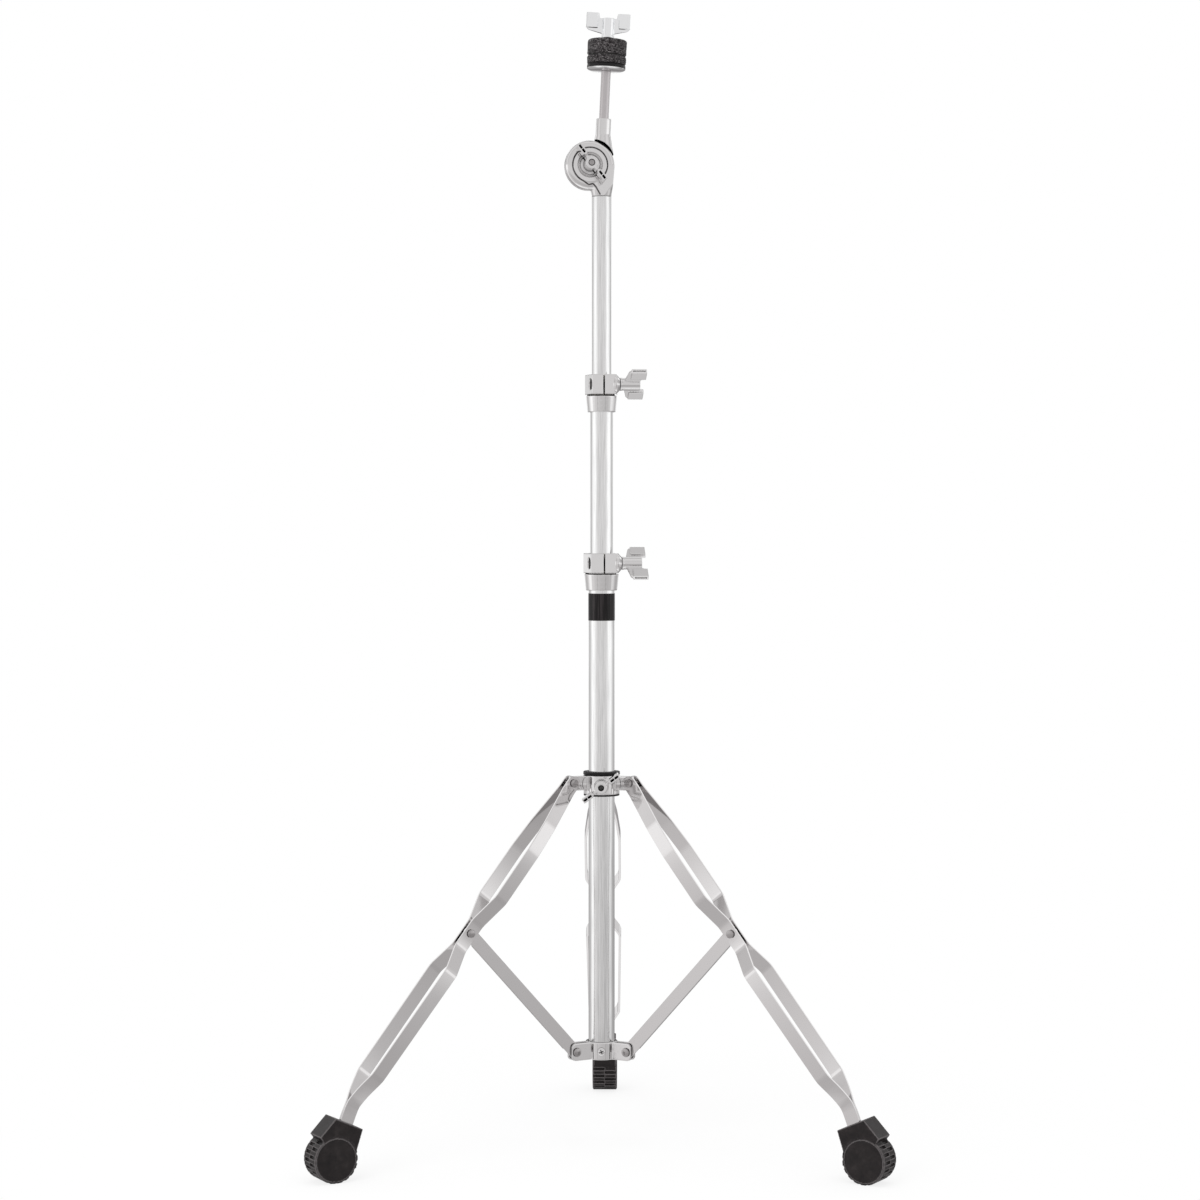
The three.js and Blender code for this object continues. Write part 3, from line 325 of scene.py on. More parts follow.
# %% Moulded nylon, black and natural
# Nylon flows into its tool in swirls of about 3 mm, which show as faint changes of gloss.
for slot_name, material_name, (darker, paler), (glossier, duller) in (
    ("black_nylon", "black_moulded_nylon", ("0b0a0b", "151314"), (0.22, 0.4)),
    ("pale_nylon", "natural_moulded_nylon", ("cfcbc2", "e0ddd6"), (0.35, 0.5)),
):
    material, tree, place = start_material(material_name)
    flow = add_node(tree, "ShaderNodeTexNoise", {"Vector": place, "Scale": 300.0, "Detail": 4.0})
    tint = add_node(tree, "ShaderNodeValToRGB", {"Fac": flow})
    set_ramp(tint, [(0.3, darker), (0.7, paler)])
    roughness = add_node(tree, "ShaderNodeMapRange", {
        "Value": flow, **noise_span, "To Min": glossier, "To Max": duller,
    })
    bump = add_node(tree, "ShaderNodeBump", {"Height": flow, "Strength": 0.15, "Distance": 0.0001})
    finishes[slot_name] = end_material(material, {
        "Base Color": tint, "Roughness": roughness, "IOR": 1.53, "Specular IOR Level": 0.25,
        "Normal": bump,
    })

# %% Moulded rubber
# The tool's blasted grain is about 0.3 mm, drawn at 0.5 mm. Edges rub against bags and floors and
# turn grey, and that grey, found by the curvature of the mesh, also stands for the highlights on
# rounded edges: painted highlight. The gaps of the tread are painted black where occlusion finds
# them: painted shade.
material, tree, place = start_material("moulded_rubber")
dust = add_node(tree, "ShaderNodeTexNoise", {
    "Vector": place, "Scale": 110.0, "Detail": 5.0, "Roughness": 0.65,
})
tint = add_node(tree, "ShaderNodeValToRGB", {"Fac": dust})
set_ramp(tint, [(0.3, "171415"), (0.55, "221e1e"), (0.8, "322d2d")])
curvature = add_node(tree, "ShaderNodeNewGeometry")
# Wear and painted highlight: convex edges are coloured grey.
rubbed_and_highlit_edges = add_node(tree, "ShaderNodeMapRange", {
    "Value": curvature.outputs["Pointiness"], "From Min": 0.504, "From Max": 0.53, "To Max": 0.5,
})
# Painted shade: occlusion darkens the tread's gaps to black.
tread_gap_occlusion = add_node(tree, "ShaderNodeAmbientOcclusion", {"Distance": 0.005}, samples=few_rays)
tread_gap_shade = add_node(tree, "ShaderNodeMapRange", {
    "Value": tread_gap_occlusion.outputs["AO"], "From Min": 0.4, "From Max": 0.85, "To Min": 0.1,
})
rubber_with_wear_and_edge_highlight = add_node(tree, "ShaderNodeMixRGB", {
    "Fac": rubbed_and_highlit_edges, "Color1": tint, "Color2": linear_colour("7a7576"),
})
rubber_with_painted_light = add_node(tree, "ShaderNodeMixRGB", {
    "Fac": tread_gap_shade, "Color1": linear_colour("080707"), "Color2": rubber_with_wear_and_edge_highlight,
})
roughness = add_node(tree, "ShaderNodeMapRange", {
    "Value": dust, **noise_span, "To Min": 0.3, "To Max": 0.46,
})
grain = add_node(tree, "ShaderNodeTexVoronoi", {"Vector": place, "Scale": 2000.0})
bump = add_node(tree, "ShaderNodeBump", {"Height": grain, "Strength": 0.25, "Distance": 0.0001})
finishes["rubber"] = end_material(material, {
    "Base Color": rubber_with_painted_light, "Roughness": roughness, "IOR": 1.5, "Specular IOR Level": 0.2,
    "Normal": bump,
})

# %% [markdown]
# ## Wool felt
#
# Felt is matted wool fibre. It takes no shine at all, but light catches the loose fibre ends and
# gives a soft pale rim, which a little sheen brings back. Its colour is a mix of dark and lighter
# grey fibres, each some 0.05 mm thick. They are drawn at 0.4 mm, and longer than they are wide, so
# that they can be seen. The palest specks among them are painted highlights on the fibre ends.

# %% Charcoal wool felt
material, tree, place = start_material("charcoal_wool_felt")
lying = add_node(tree, "ShaderNodeMapping", {"Vector": place, "Scale": (0.6, 0.6, 2.2)})
fibres = add_node(tree, "ShaderNodeTexNoise", {
    "Vector": lying, "Scale": 900.0, "Detail": 6.0, "Roughness": 0.75, "Distortion": 1.2,
})
tint = add_node(tree, "ShaderNodeValToRGB", {"Fac": fibres})
# The palest fibre tones are painted highlights on the fibre ends.
set_ramp(tint, [(0.41, "0d0b0c"), (0.49, "1b1819"), (0.55, "3c393a"), (0.62, "aca7a8")])
bump = add_node(tree, "ShaderNodeBump", {"Height": fibres, "Strength": 0.9, "Distance": 0.0005})
finishes["felt"] = end_material(material, {
    "Base Color": tint, "Roughness": 1.0, "Specular IOR Level": 0.15, "Sheen Weight": 0.12,
    "Sheen Roughness": 0.5, "Normal": bump,
})
print(f"made {len(finishes)} finishes")

# %% [markdown]
# ## Helpers for shapes
#
# A piece is made as by hand: a primitive at its size and place, then edits on faces picked by where
# they are. Everything is deselected first, because operators act on all that is selected. Each
# assembly of the stand has its own frame, a matrix, so that a leaning part can be built upright in
# its own terms. Sizes are in millimetres from here on, and heights are above the floor.

# %% Frames of the assemblies
tube_top = {"base_tube": 560, "middle_tube": 733.7, "top_tube": 928.5}
brace_pivot_height = 97
leg_pivot_height = 358.6
clamp_above_tube_end = 1
clamp_turn = 7.5
tilter_turn = 6
hinge_offset = 12
hinge_height = 30.2
rod_lean = 2.7
pole_frame = Matrix.Translation((pole.x, pole.y, 0))


def moved(x, y, z):
    """A shift in millimetres."""
    return Matrix.Translation((x * mm, y * mm, z * mm))


def turned(angle, axis):
    """A turn in degrees about an axis."""
    return Matrix.Rotation(math.radians(angle), 4, axis)


def clamp_at(tube):
    """The frame of the clamp on the end of a tube."""
    return pole_frame @ moved(0, 0, tube_top[tube] + clamp_above_tube_end) @ turned(clamp_turn, "Z")


bracket_frame = pole_frame @ moved(0, 0, brace_pivot_height)
collar_frame = pole_frame @ moved(0, 0, leg_pivot_height)
tilter_frame = pole_frame @ moved(0, 0, tube_top["top_tube"]) @ turned(tilter_turn, "Z")
hinge_frame = tilter_frame @ moved(-hinge_offset, 0, hinge_height)
rod_frame = hinge_frame @ turned(rod_lean, "Y") @ moved(hinge_offset, 0, 0)
lean = math.degrees(rod_frame.to_3x3().col[2].angle(Vector((0, 0, 1))))
print("the rod leans", round(lean, 2), "degrees")

# %% Helpers for selecting
# How much of a direction lies along an axis, for one that runs along it and one across it.
nearly_along = 0.9
nearly_across = 0.1
touching = 0.001 * mm


def deselect():
    """Leaves nothing selected, in object mode."""
    if bpy.context.object and bpy.context.object.mode != "OBJECT":
        bpy.ops.object.mode_set(mode="OBJECT")
    bpy.ops.object.select_all(action="DESELECT")


def make_active(piece):
    """Selects one piece alone and makes it active."""
    deselect()
    piece.select_set(True)
    bpy.context.view_layer.objects.active = piece


def pick(piece, kind, test):
    """Selects the faces, edges or vertices that pass a test on their place, in edit mode.

    The test gets the centre and the normal of a face or vertex, or the middle and the direction
    of an edge.
    """
    make_active(piece)
    bpy.ops.object.mode_set(mode="EDIT")
    bpy.ops.mesh.select_mode(type=kind)
    bpy.ops.mesh.select_all(action="DESELECT")
    bpy.ops.object.mode_set(mode="OBJECT")
    mesh = piece.data
    if kind == "FACE":
        tested = [(face, face.center, face.normal) for face in mesh.polygons]
    elif kind == "EDGE":
        ends = [[mesh.vertices[i].co for i in edge.vertices] for edge in mesh.edges]
        tested = [
            (edge, (a + b) / 2, (b - a).normalized()) for edge, (a, b) in zip(mesh.edges, ends)
        ]
    else:
        tested = [(vertex, vertex.co, vertex.normal) for vertex in mesh.vertices]
    for element, centre, direction in tested:
        if test(centre, direction):
            element.select = True
    bpy.ops.object.mode_set(mode="EDIT")


# %% Helpers for copying and finishing


def finish(piece, name, node, surface=None, smooth_angle=32):
    """Bakes a piece's place into its mesh, smooths it, and lets it stand for a solid.

    It gets the solid's body, and the finish of the solid's slot where no other one is named.
    """
    make_active(piece)
    piece.data.transform(piece.matrix_world)
    piece.matrix_world = Matrix.Identity(4)
    piece.name = name
    piece.data.name = name
    bpy.ops.object.shade_smooth_by_angle(angle=math.radians(smooth_angle))
    piece.data.materials.clear()
    piece.data.materials.append(finishes[surface or slot_of_node[node]])
    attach(piece, body_of_node[node])
    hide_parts(node)


def apply_modifier(piece, kind, **settings):
    """Adds a modifier, sets it and applies it."""
    make_active(piece)
    added = piece.modifiers.new(kind.lower(), kind)
    for setting, value in settings.items():
        setattr(added, setting, value)
    bpy.ops.object.modifier_apply(modifier=added.name)


def own_copy(node, merged_within=0.004, flat_within=0.6):
    """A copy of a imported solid, its loose triangles merged and its flats made whole."""
    piece = bpy.data.objects.new(f"copy_of_{node}", frame["nodes"][node].data.copy())
    bpy.context.scene.collection.objects.link(piece)
    make_active(piece)
    bpy.ops.object.mode_set(mode="EDIT")
    bpy.ops.mesh.select_all(action="SELECT")
    bpy.ops.mesh.remove_doubles(threshold=merged_within * mm)
    bpy.ops.mesh.dissolve_limited(angle_limit=math.radians(flat_within))
    bpy.ops.object.mode_set(mode="OBJECT")
    return piece


# %% [markdown]
# ## Tubes
#
# Each stage of the stand is a drawn steel tube with a 1.2 mm wall, cut square and lightly deburred.
# A cylinder gives the outside. Its end caps are inset by the wall, the inner discs are deleted and
# the two loops are bridged, which makes the bore. A small bevel is the deburred rim. The film band
# and the clamps' liners are short tubes, so the same steps make them.

# %% A tube or ring
round_steps = 96


def add_tube(radius, bore, bottom, top, rim, at=pole_frame):
    """A tube or ring along the Z axis of its frame, with rounded rims."""
    half = (top - bottom) / 2 * mm
    # The middles of the edges across the wall lie half way through it, so they aren't near.
    near_bore = (bore + (radius - bore) / 4) * mm

    def is_cap(centre, normal):
        return abs(normal.z) > nearly_along

    def is_disc(centre, normal):
        return is_cap(centre, normal) and centre.xy.length < touching

    def is_bore_loop(centre, along):
        return centre.xy.length < near_bore and abs(along.z) < nearly_across

    def is_rim(centre, along):
        at_end = abs(abs(centre.z) - half) < touching
        across_wall = abs(centre.xy.normalized().dot(along.xy))
        return at_end and abs(along.z) < nearly_across and across_wall < nearly_across

    deselect()
    bpy.ops.mesh.primitive_cylinder_add(
        vertices=round_steps, radius=radius * mm, depth=2 * half, end_fill_type="NGON",
    )
    piece = bpy.context.object
    pick(piece, "FACE", is_cap)
    bpy.ops.mesh.inset(thickness=(radius - bore) * mm, depth=0)
    pick(piece, "FACE", is_disc)
    bpy.ops.mesh.delete(type="FACE")
    pick(piece, "EDGE", is_bore_loop)
    bpy.ops.mesh.bridge_edge_loops()
    pick(piece, "EDGE", is_rim)
    bpy.ops.mesh.bevel(offset=rim * mm, segments=2, profile=0.5)
    bpy.ops.object.mode_set(mode="OBJECT")
    piece.matrix_world = at @ moved(0, 0, (bottom + top) / 2)
    return piece


# %% The three tubes and the film band
tube_radius = {"base_tube": 12.7, "middle_tube": 11.1, "top_tube": 9.525}
tube_length = {"base_tube": 470, "middle_tube": 438, "top_tube": 400}
tube_wall = 1.2
clamp_cone_length = 16
gap_under_clamp = 2.8
band_height = 26.5
band_radius, band_bore = 13.05, 12.75
for node, radius in tube_radius.items():
    top = tube_top[node]
    piece = add_tube(radius, radius - tube_wall, top - tube_length[node], top, rim=0.3)
    finish(piece, f"polished_{node}", node, smooth_angle=20)
band_top = tube_top["base_tube"] + clamp_above_tube_end - clamp_cone_length - gap_under_clamp
piece = add_tube(band_radius, band_bore, band_top - band_height, band_top, rim=0.1)
finish(piece, "black_band", "tube_band", smooth_angle=20)
print("three tubes and a band")

# %% [markdown]
# ## Turned pieces
#
# Anything made on a lathe or pressed from round stock is the same outline all the way round. Its
# outline is drawn as a ring of vertices on one side of the axis and spun through a full turn.
# Points on the axis collapse into poles, which are merged, and then the faces are turned outwards.

# %% A turned piece


def add_turned(outline, at=pole_frame, steps=round_steps):
    """Spins a closed outline of (radius, height) pairs about the Z axis of its frame."""
    deselect()
    bpy.ops.mesh.primitive_circle_add(vertices=len(outline), radius=mm, fill_type="NOTHING")
    piece = bpy.context.object
    for vertex, (radius, height) in zip(piece.data.vertices, outline):
        vertex.co = (radius * mm, 0, height * mm)
    pick(piece, "VERT", lambda place, normal: True)
    bpy.ops.mesh.spin(
        steps=steps, angle=2 * math.pi, center=(0, 0, 0), axis=(0, 0, 1), use_auto_merge=True,
    )
    bpy.ops.mesh.select_all(action="SELECT")
    bpy.ops.mesh.remove_doubles(threshold=touching)
    bpy.ops.mesh.normals_make_consistent(inside=False)
    bpy.ops.object.mode_set(mode="OBJECT")
    piece.matrix_world = at
    return piece


# %% [markdown]
# ## Castings
#
# The clamps, the collar, the bracket, the tilter and the wing nuts are zinc die castings. A die
# leaves soft corners, because a sharp one would crack it, and tumbling before plating softens them
# further. A bevel can't follow so many meeting edges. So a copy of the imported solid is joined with
# finely turned bodies over its round parts, and a voxel remesh melts them into one skin, which a
# few smoothing passes soften. Narrow slots and lines come last, as vertices that are sunk, because
# a remesh and smoothing would close them.

# %% Joining, softening and sinking


def join_pieces(pieces):
    """Joins several pieces into the first of them."""
    make_active(pieces[0])
    for other in pieces[1:]:
        other.select_set(True)
    bpy.ops.object.join()
    return pieces[0]


def soften(piece, voxel, passes):
    """Remeshes a piece at a voxel size, drops loose crumbs and smooths it."""
    make_active(piece)
    bpy.ops.object.transform_apply(location=True, rotation=True, scale=True)
    apply_modifier(piece, "REMESH", mode="VOXEL", voxel_size=voxel * mm, use_smooth_shade=True)
    places = [vertex.co.copy() for vertex in piece.data.vertices]
    middle = sum(places, Vector()) / len(places)
    farthest = max(places, key=lambda place: (place - middle).length)
    pick(piece, "VERT", lambda place, normal: place == farthest)
    bpy.ops.mesh.select_linked()
    bpy.ops.mesh.select_all(action="INVERT")
    bpy.ops.mesh.delete(type="VERT")
    bpy.ops.object.mode_set(mode="OBJECT")
    apply_modifier(piece, "SMOOTH", factor=0.5, iterations=passes)


def cast_piece(node, round_bodies, voxel=0.45, passes=4, surface=None):
    """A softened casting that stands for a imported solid."""
    piece = join_pieces([own_copy(node), *round_bodies])
    soften(piece, voxel, passes)
    finish(piece, f"cast_{node}", node, surface, smooth_angle=70)
    print(node, len(piece.data.polygons), "faces")
    return piece


def sink(piece, at, axis, depth_of):
    """Sinks vertices along an axis of a frame, 0 for X or 2 for Z, towards its middle.

    The depth is a function of the vertex's place in that frame.
    """
    inward = at.inverted()
    for vertex in piece.data.vertices:
        place = inward @ vertex.co / mm
        depth = depth_of(place)
        if depth:
            place[axis] -= math.copysign(depth, place[axis])
            vertex.co = at @ (place * mm)


# %% [markdown]
# ## Tube clamps
#
# Each clamp is a cone that sits on the end of the larger tube, with two ears above it that a bolt
# draws together round the smaller tube. A slit parts the ears, and a slot above the cone lets them
# move. Only the back of the clamp's upper part is round, so a turned ring is cut open at the front
# and its cut ends are filled.

# %% The two clamps
fit_gap = 0.3
clamp_wall = 3.7
cone_foot_wall = 2.2
slot_top = 1
ear_top = 20.3
front_of_back = 6
bolt_height = 10.65
bolt_offset = 4
bolt_seat_offset = 4.6
bolt_hole = 3.3


def clamp_bolt_at(tube, reach=0, turn=0):
    """A frame on the bolt of a clamp, so far along it from its middle and turned about it."""
    at = clamp_at(tube) @ moved(reach, -(tube_radius[tube] + bolt_offset), bolt_height)
    return at @ turned(turn, "X") @ turned(90, "Y")


for node, tube in (("lower_clamp", "base_tube"), ("upper_clamp", "middle_tube")):
    at = clamp_at(tube)
    bore = tube_radius[tube] + fit_gap
    wall = bore + clamp_wall
    seat = tube_radius[tube] + bolt_seat_offset
    foot = -clamp_cone_length
    cone = add_turned([(bore, foot), (bore + cone_foot_wall, foot), (wall, 0), (bore, 0)], at)
    back = add_turned([(bore, slot_top), (wall, slot_top), (wall, ear_top), (bore, ear_top)], at)
    pick(back, "FACE", lambda centre, normal: centre.y < front_of_back * mm)
    bpy.ops.mesh.delete(type="FACE")
    bpy.ops.mesh.select_mode(type="EDGE")
    bpy.ops.mesh.select_non_manifold()
    bpy.ops.mesh.fill()
    bpy.ops.mesh.select_all(action="SELECT")
    bpy.ops.mesh.normals_make_consistent(inside=False)
    bpy.ops.object.mode_set(mode="OBJECT")
    boss = add_turned([
        (bolt_hole, seat - 8), (9.65, seat - 5), (9.65, seat - 3.2), (6.3, seat),
        (bolt_hole, seat),
    ], clamp_bolt_at(tube))
    cast_piece(node, [cone, back, boss])

# %% [markdown]
# ## Wing nuts
#
# A wing nut has a round hub with a flange, and two wings with thick ends, cored out from above to
# save metal, with a narrow slot down each end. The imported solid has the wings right, and a turned
# hub goes over its sixteen-sided one.

# %% Wing nuts and the collar's wing bolt
rod_hole = 4.2
hub_top = 19.4
wing_reach = 21.25
end_thickness = 0.7
end_slot_half_width = 0.8
end_slot_bottom, end_slot_top = 11, 22.8
wing_bolt_reach, wing_bolt_drop = 21.8, 2.9
tilter_nut_reach = 9.2
cymbal_nut_height = 124.8
wing_bolt_height = leg_pivot_height - wing_bolt_drop
wing_bolt_seat = pole_frame @ moved(0, -wing_bolt_reach, wing_bolt_height)
tilter_nut_seat = hinge_frame @ moved(0, -tilter_nut_reach, 0)
wing_frames = {
    "lower_clamp_wing_nut": clamp_bolt_at("base_tube", reach=17.6, turn=-49),
    "upper_clamp_wing_nut": clamp_bolt_at("middle_tube", reach=16, turn=55.5),
    "tilter_wing_nut": tilter_nut_seat @ turned(52, "Y") @ turned(90, "X"),
    "cymbal_wing_nut": rod_frame @ moved(0, 0, cymbal_nut_height),
    "collar_wing_bolt": wing_bolt_seat @ turned(-36, "Y") @ turned(90, "X"),
}


def end_slot_depth(place):
    """A slot 1 mm deep in the outer end of each wing."""
    at_end = abs(place.x) > wing_reach - end_thickness
    in_slot = abs(place.y) < end_slot_half_width and end_slot_bottom < place.z < end_slot_top
    return 1 if at_end and in_slot else 0


for node, at in wing_frames.items():
    on_rod = node == "cymbal_wing_nut"
    bore = rod_hole if on_rod else bolt_hole
    hub = add_turned([(bore, 0), (6.3, 0), (6.3, 1.8), (6, 2.1), (6, hub_top), (bore, hub_top)], at)
    surface = "bright_nickel" if on_rod else None
    nut = cast_piece(node, [hub], voxel=0.33, passes=3, surface=surface)
    sink(nut, at, axis=0, depth_of=end_slot_depth)

# %% [markdown]
# ## Bracket and collar
#
# Both are rings with three arms. The bracket is fixed to the foot of the base tube by a
# cross-headed screw. The collar slides on a nylon liner and has a boss in front for its wing bolt.

# %% The bracket at the foot of the tube
ring = add_turned([(13, -8.5), (15.6, -8.5), (15.6, 8.5), (13, 8.5)], bracket_frame)
cast_piece("spreader_bracket", [ring])

# %% The leg collar
ring = add_turned([(15.2, -12.1), (17.5, -12.1), (17.5, 6.4), (15.2, 6.4)], collar_frame)
boss = add_turned(
    [(bolt_hole, 15.5), (6.6, 15.5), (6.6, 21.5), (bolt_hole, 21.5)],
    collar_frame @ moved(0, 0, -wing_bolt_drop) @ turned(90, "X"),
)
cast_piece("leg_collar", [ring, boss])

# %% [markdown]
# ## Tilter
#
# Two round castings face each other across a friction disc. Each has a broad chamfer at its rim and
# a raised face with a round seat sunk in it for the bolt's head or the wing nut. A fine line is
# pressed in round the raised face and another round the seat.

# %% Pressing a line into a casting
# Only the outer face is pressed, which lies higher than this above the middle of the joint.
tilter_face_level = 7.5


def press_line(piece, at, path, width, depth):
    """Sinks a line into the face of a piece, along points in the plane of a frame."""
    points = [Vector(point) for point in path]

    def line_depth(place):
        if place.z < tilter_face_level:
            return 0
        nearest = width
        for start, end in zip(points, points[1:]):
            along = end - start
            share = max(0, min(1, (place.xy - start).dot(along) / along.length_squared))
            nearest = min(nearest, (start + along * share - place.xy).length)
        return depth * max(0, 1 - (2 * nearest / width) ** 2)

    sink(piece, at, axis=2, depth_of=line_depth)


def arc(radius, first, last, steps=48):
    """Points round a circle between two angles in degrees."""
    angles = [math.radians(first + (last - first) * i / steps) for i in range(steps + 1)]
    return [(radius * math.cos(angle), radius * math.sin(angle)) for angle in angles]


# %% The tilter's two halves
# On the front half the line round the raised face opens at the lower right and runs down the neck.
disc_outline = [
    (0, 1.1), (24, 1.1), (24, 5.5), (23.9, 6.2), (23.5, 7.1), (22.9, 7.9), (22, 8.65),
    (20.8, 9.2), (19.4, 9.55), (17.9, 9.7), (16, 10.1), (10, 10.1), (10, 8.9), (0, 8.9),
]
seat_line = arc(11.2, 0, 360)
face_line_radius = 16.9
front_frame = hinge_frame @ turned(90, "X")
base_half = cast_piece("tilter_base", [add_turned(disc_outline, front_frame)], voxel=0.33, passes=2)
neck_line = [(-1.4, -19.3), (2.8, -18.3), (5.6, -21.4), (9.6, -28.3)]
keyhole_line = arc(face_line_radius, -30, 247) + neck_line
press_line(base_half, front_frame, keyhole_line, width=1.5, depth=1.3)
press_line(base_half, front_frame, seat_line, width=2.2, depth=1.1)
rear_frame = hinge_frame @ turned(rod_lean, "Y") @ turned(-90, "X")
socket = add_turned([
    (0, 30.7), (7.15, 30.7), (7.15, 46.3), (4.9, 46.3), (4.9, 34), (0, 34),
], rod_frame)
head_half = cast_piece(
    "tilter_head", [add_turned(disc_outline, rear_frame), socket], voxel=0.36, passes=2,
)
press_line(head_half, rear_frame, arc(face_line_radius, 0, 360), width=1.5, depth=1.1)
press_line(head_half, rear_frame, seat_line, width=2.2, depth=1.1)

# %% [markdown]
# ## Strips, braces and rivets
#
# A leg is two strips of plated steel, punched, then bent in a press. Punching rounds the face edges
# a little. A brace is a small channel folded from thinner sheet. Rivets and bolts have low round
# heads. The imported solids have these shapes, and a bevel on every sharp edge rounds them.

# %% Strips, braces, rivets and bolts with rounded edges
sharp_angle = 40


def rounded_copy(node, width, segments):
    """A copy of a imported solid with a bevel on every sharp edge."""
    piece = own_copy(node)
    apply_modifier(
        piece, "BEVEL", width=width * mm, segments=segments, limit_method="ANGLE",
        angle_limit=math.radians(sharp_angle), use_clamp_overlap=True,
    )
    return piece


for node in slot_of_node:
    if node.endswith(("_strip", "_brace")):
        finish(rounded_copy(node, 0.3, segments=2), f"bent_{node}", node, smooth_angle=12)
for node in slot_of_node:
    if "rivet" in node or node.endswith("_bolt") and node != "collar_wing_bolt":
        # The clamp bolts get the near-black steel that paints the shade of their seats.
        surface = "black_steel" if "clamp_bolt" in node else "steel"
        finish(rounded_copy(node, 0.6, segments=3), f"steel_{node}", node, surface, smooth_angle=45)

# %% [markdown]
# ## The bracket's screw
#
# The screw is nickel plated like the castings, and has a cross recess, cut with a boolean from two
# crossed blades, because that is what tells it from a rivet.

# %% The cross-headed screw
screw_frame = bracket_frame @ turned(90, "X")
blade_height = 17.3
blade_length, blade_width, blade_depth = 4.4, 0.9, 2.2
head = add_turned([
    (0, 8.5), (2, 8.5), (2, 15.9), (3.8, 15.9), (3.75, 16.6), (3.1, 17.3), (1.8, 17.65),
    (0, 17.7),
], screw_frame, steps=48)
for turn in (20, 110):
    deselect()
    bpy.ops.mesh.primitive_cube_add(size=mm)
    blade = bpy.context.object
    blade_size = Matrix.Diagonal((blade_length, blade_width, blade_depth, 1))
    blade.matrix_world = screw_frame @ turned(turn, "Z") @ moved(0, 0, blade_height) @ blade_size
    apply_modifier(head, "BOOLEAN", operation="DIFFERENCE", object=blade, solver="EXACT")
    bpy.data.objects.remove(blade)
finish(head, "steel_bracket_screw", "bracket_screw", "cast_chrome", smooth_angle=35)

# %% [markdown]
# ## Rod, washers and liners
#
# These are all turned or moulded round, so each is one spun outline.

# %% Round parts of the cymbal seat
round_parts = {
    "cymbal_rod": [
        (0, 34.3), (4.6, 34.3), (4.6, 92.3), (4.3, 92.6), (3.9, 92.6), (3.9, 143.2),
        (3.5, 143.6), (0, 143.6),
    ],
    "cup_washer": [
        (rod_hole, 92.9), (14.6, 92.9), (16.6, 93.25), (18.2, 94.2), (18.8, 94.9),
        (18.7, 95.2), (rod_hole, 95.2),
    ],
    "felt_seat": [
        (5.7, 95.5), (18.3, 95.5), (18.7, 95.9), (18.7, 98.2), (18.2, 98.7), (5.7, 98.7),
    ],
    "cymbal_sleeve": [(rod_hole, 95.5), (5.7, 95.5), (5.7, 123), (rod_hole, 123)],
    "nut_washer": [
        (rod_hole, 123.3), (7.3, 123.3), (7.6, 123.6), (7.6, 124.2), (7.3, 124.5),
        (rod_hole, 124.5),
    ],
}
for node, outline in round_parts.items():
    surface = "satin_rod" if node == "cymbal_rod" else None
    finish(add_turned(outline, rod_frame), f"round_{node}", node, surface, smooth_angle=40)

# %% Liners of the clamps and the collar
liner_bottom, liner_top = -0.7, 20
for node, outer_tube, inner_tube in (
    ("lower_clamp_bushing", "base_tube", "middle_tube"),
    ("upper_clamp_bushing", "middle_tube", "top_tube"),
):
    bore = tube_radius[inner_tube] + fit_gap
    outer, at = tube_radius[outer_tube], clamp_at(outer_tube)
    liner = add_tube(outer, bore, liner_bottom, liner_top, rim=0.2, at=at)
    finish(liner, f"liner_{node}", node)
liner = add_turned([
    (13, -13.6), (17.2, -13.6), (17.5, -13.3), (17.5, -12.4), (14.9, -12.4), (14.9, 6.7),
    (17.5, 6.7), (17.9, 7.1), (17.9, 9.5), (17.4, 10), (13, 10),
], collar_frame)
finish(liner, "liner_collar_bushing", "collar_bushing", smooth_angle=50)

# %% Glides, pads and pins that stay hidden inside
pin_depth = 10.7
hidden_parts = {
    "middle_tube_glide": [(6.2, -3), (11.2, -3), (11.2, 0), (9.6, 0), (9.6, 12), (6.2, 12)],
    "top_tube_glide": [(4.625, -3), (9.6, -3), (9.6, 0), (8.025, 0), (8.025, 12), (4.625, 12)],
    "tilter_brake_pad": [(bolt_hole, -0.8), (20, -0.8), (20, 0.8), (bolt_hole, 0.8)],
    "tilter_base_pin": [(0, -9.2), (1.3, -9.2), (1.5, -9), (1.5, 9), (1.3, 9.2), (0, 9.2)],
}
hidden_frames = {
    f"{tube}_glide": pole_frame @ moved(0, 0, tube_top[tube] - tube_length[tube] - fit_gap)
    for tube in ("middle_tube", "top_tube")
}
hidden_frames["tilter_brake_pad"] = front_frame
hidden_frames["tilter_base_pin"] = tilter_frame @ moved(0, 0, -pin_depth) @ turned(90, "Y")
for node, outline in hidden_parts.items():
    finish(add_turned(outline, hidden_frames[node], steps=64), f"inner_{node}", node)

# %% [markdown]
# ## Felts
#
# The two felts are cut from thick sheet with a tube punch. The cut edge is fibrous and never quite
# round, and the corners are blunted by use. The turned form is displaced by smooth noise for the
# uneven edge, and by a finer noise for the matted surface.

# %% The outline of a felt
felt_bore = 6
felt_radius = 19
felt_rounding = 1.7
felt_inset = 0.1
face_steps, corner_steps = 9, 5
row_height = 0.7


def felt_outline(bottom, top):
    """A ring with rounded corners, in steps of about a millimetre."""
    flat = felt_radius - felt_rounding - felt_bore
    # From the bore to the side, each point with its height above the face.
    half = [(felt_bore + flat * i / face_steps, 0) for i in range(face_steps + 1)]
    for i in range(1, corner_steps + 1):
        angle = math.pi / 2 * i / corner_steps
        half.append((
            felt_radius - felt_rounding + felt_rounding * math.sin(angle),
            felt_rounding * (1 - math.cos(angle)),
        ))
    low, high = bottom + felt_inset, top - felt_inset
    rows = round((top - bottom) / row_height)
    side = high - low - 2 * felt_rounding
    outline = [(radius, low + level) for radius, level in half]
    outline += [(felt_radius, low + felt_rounding + side * i / rows) for i in range(1, rows)]
    return outline + [(radius, high - level) for radius, level in reversed(half)]


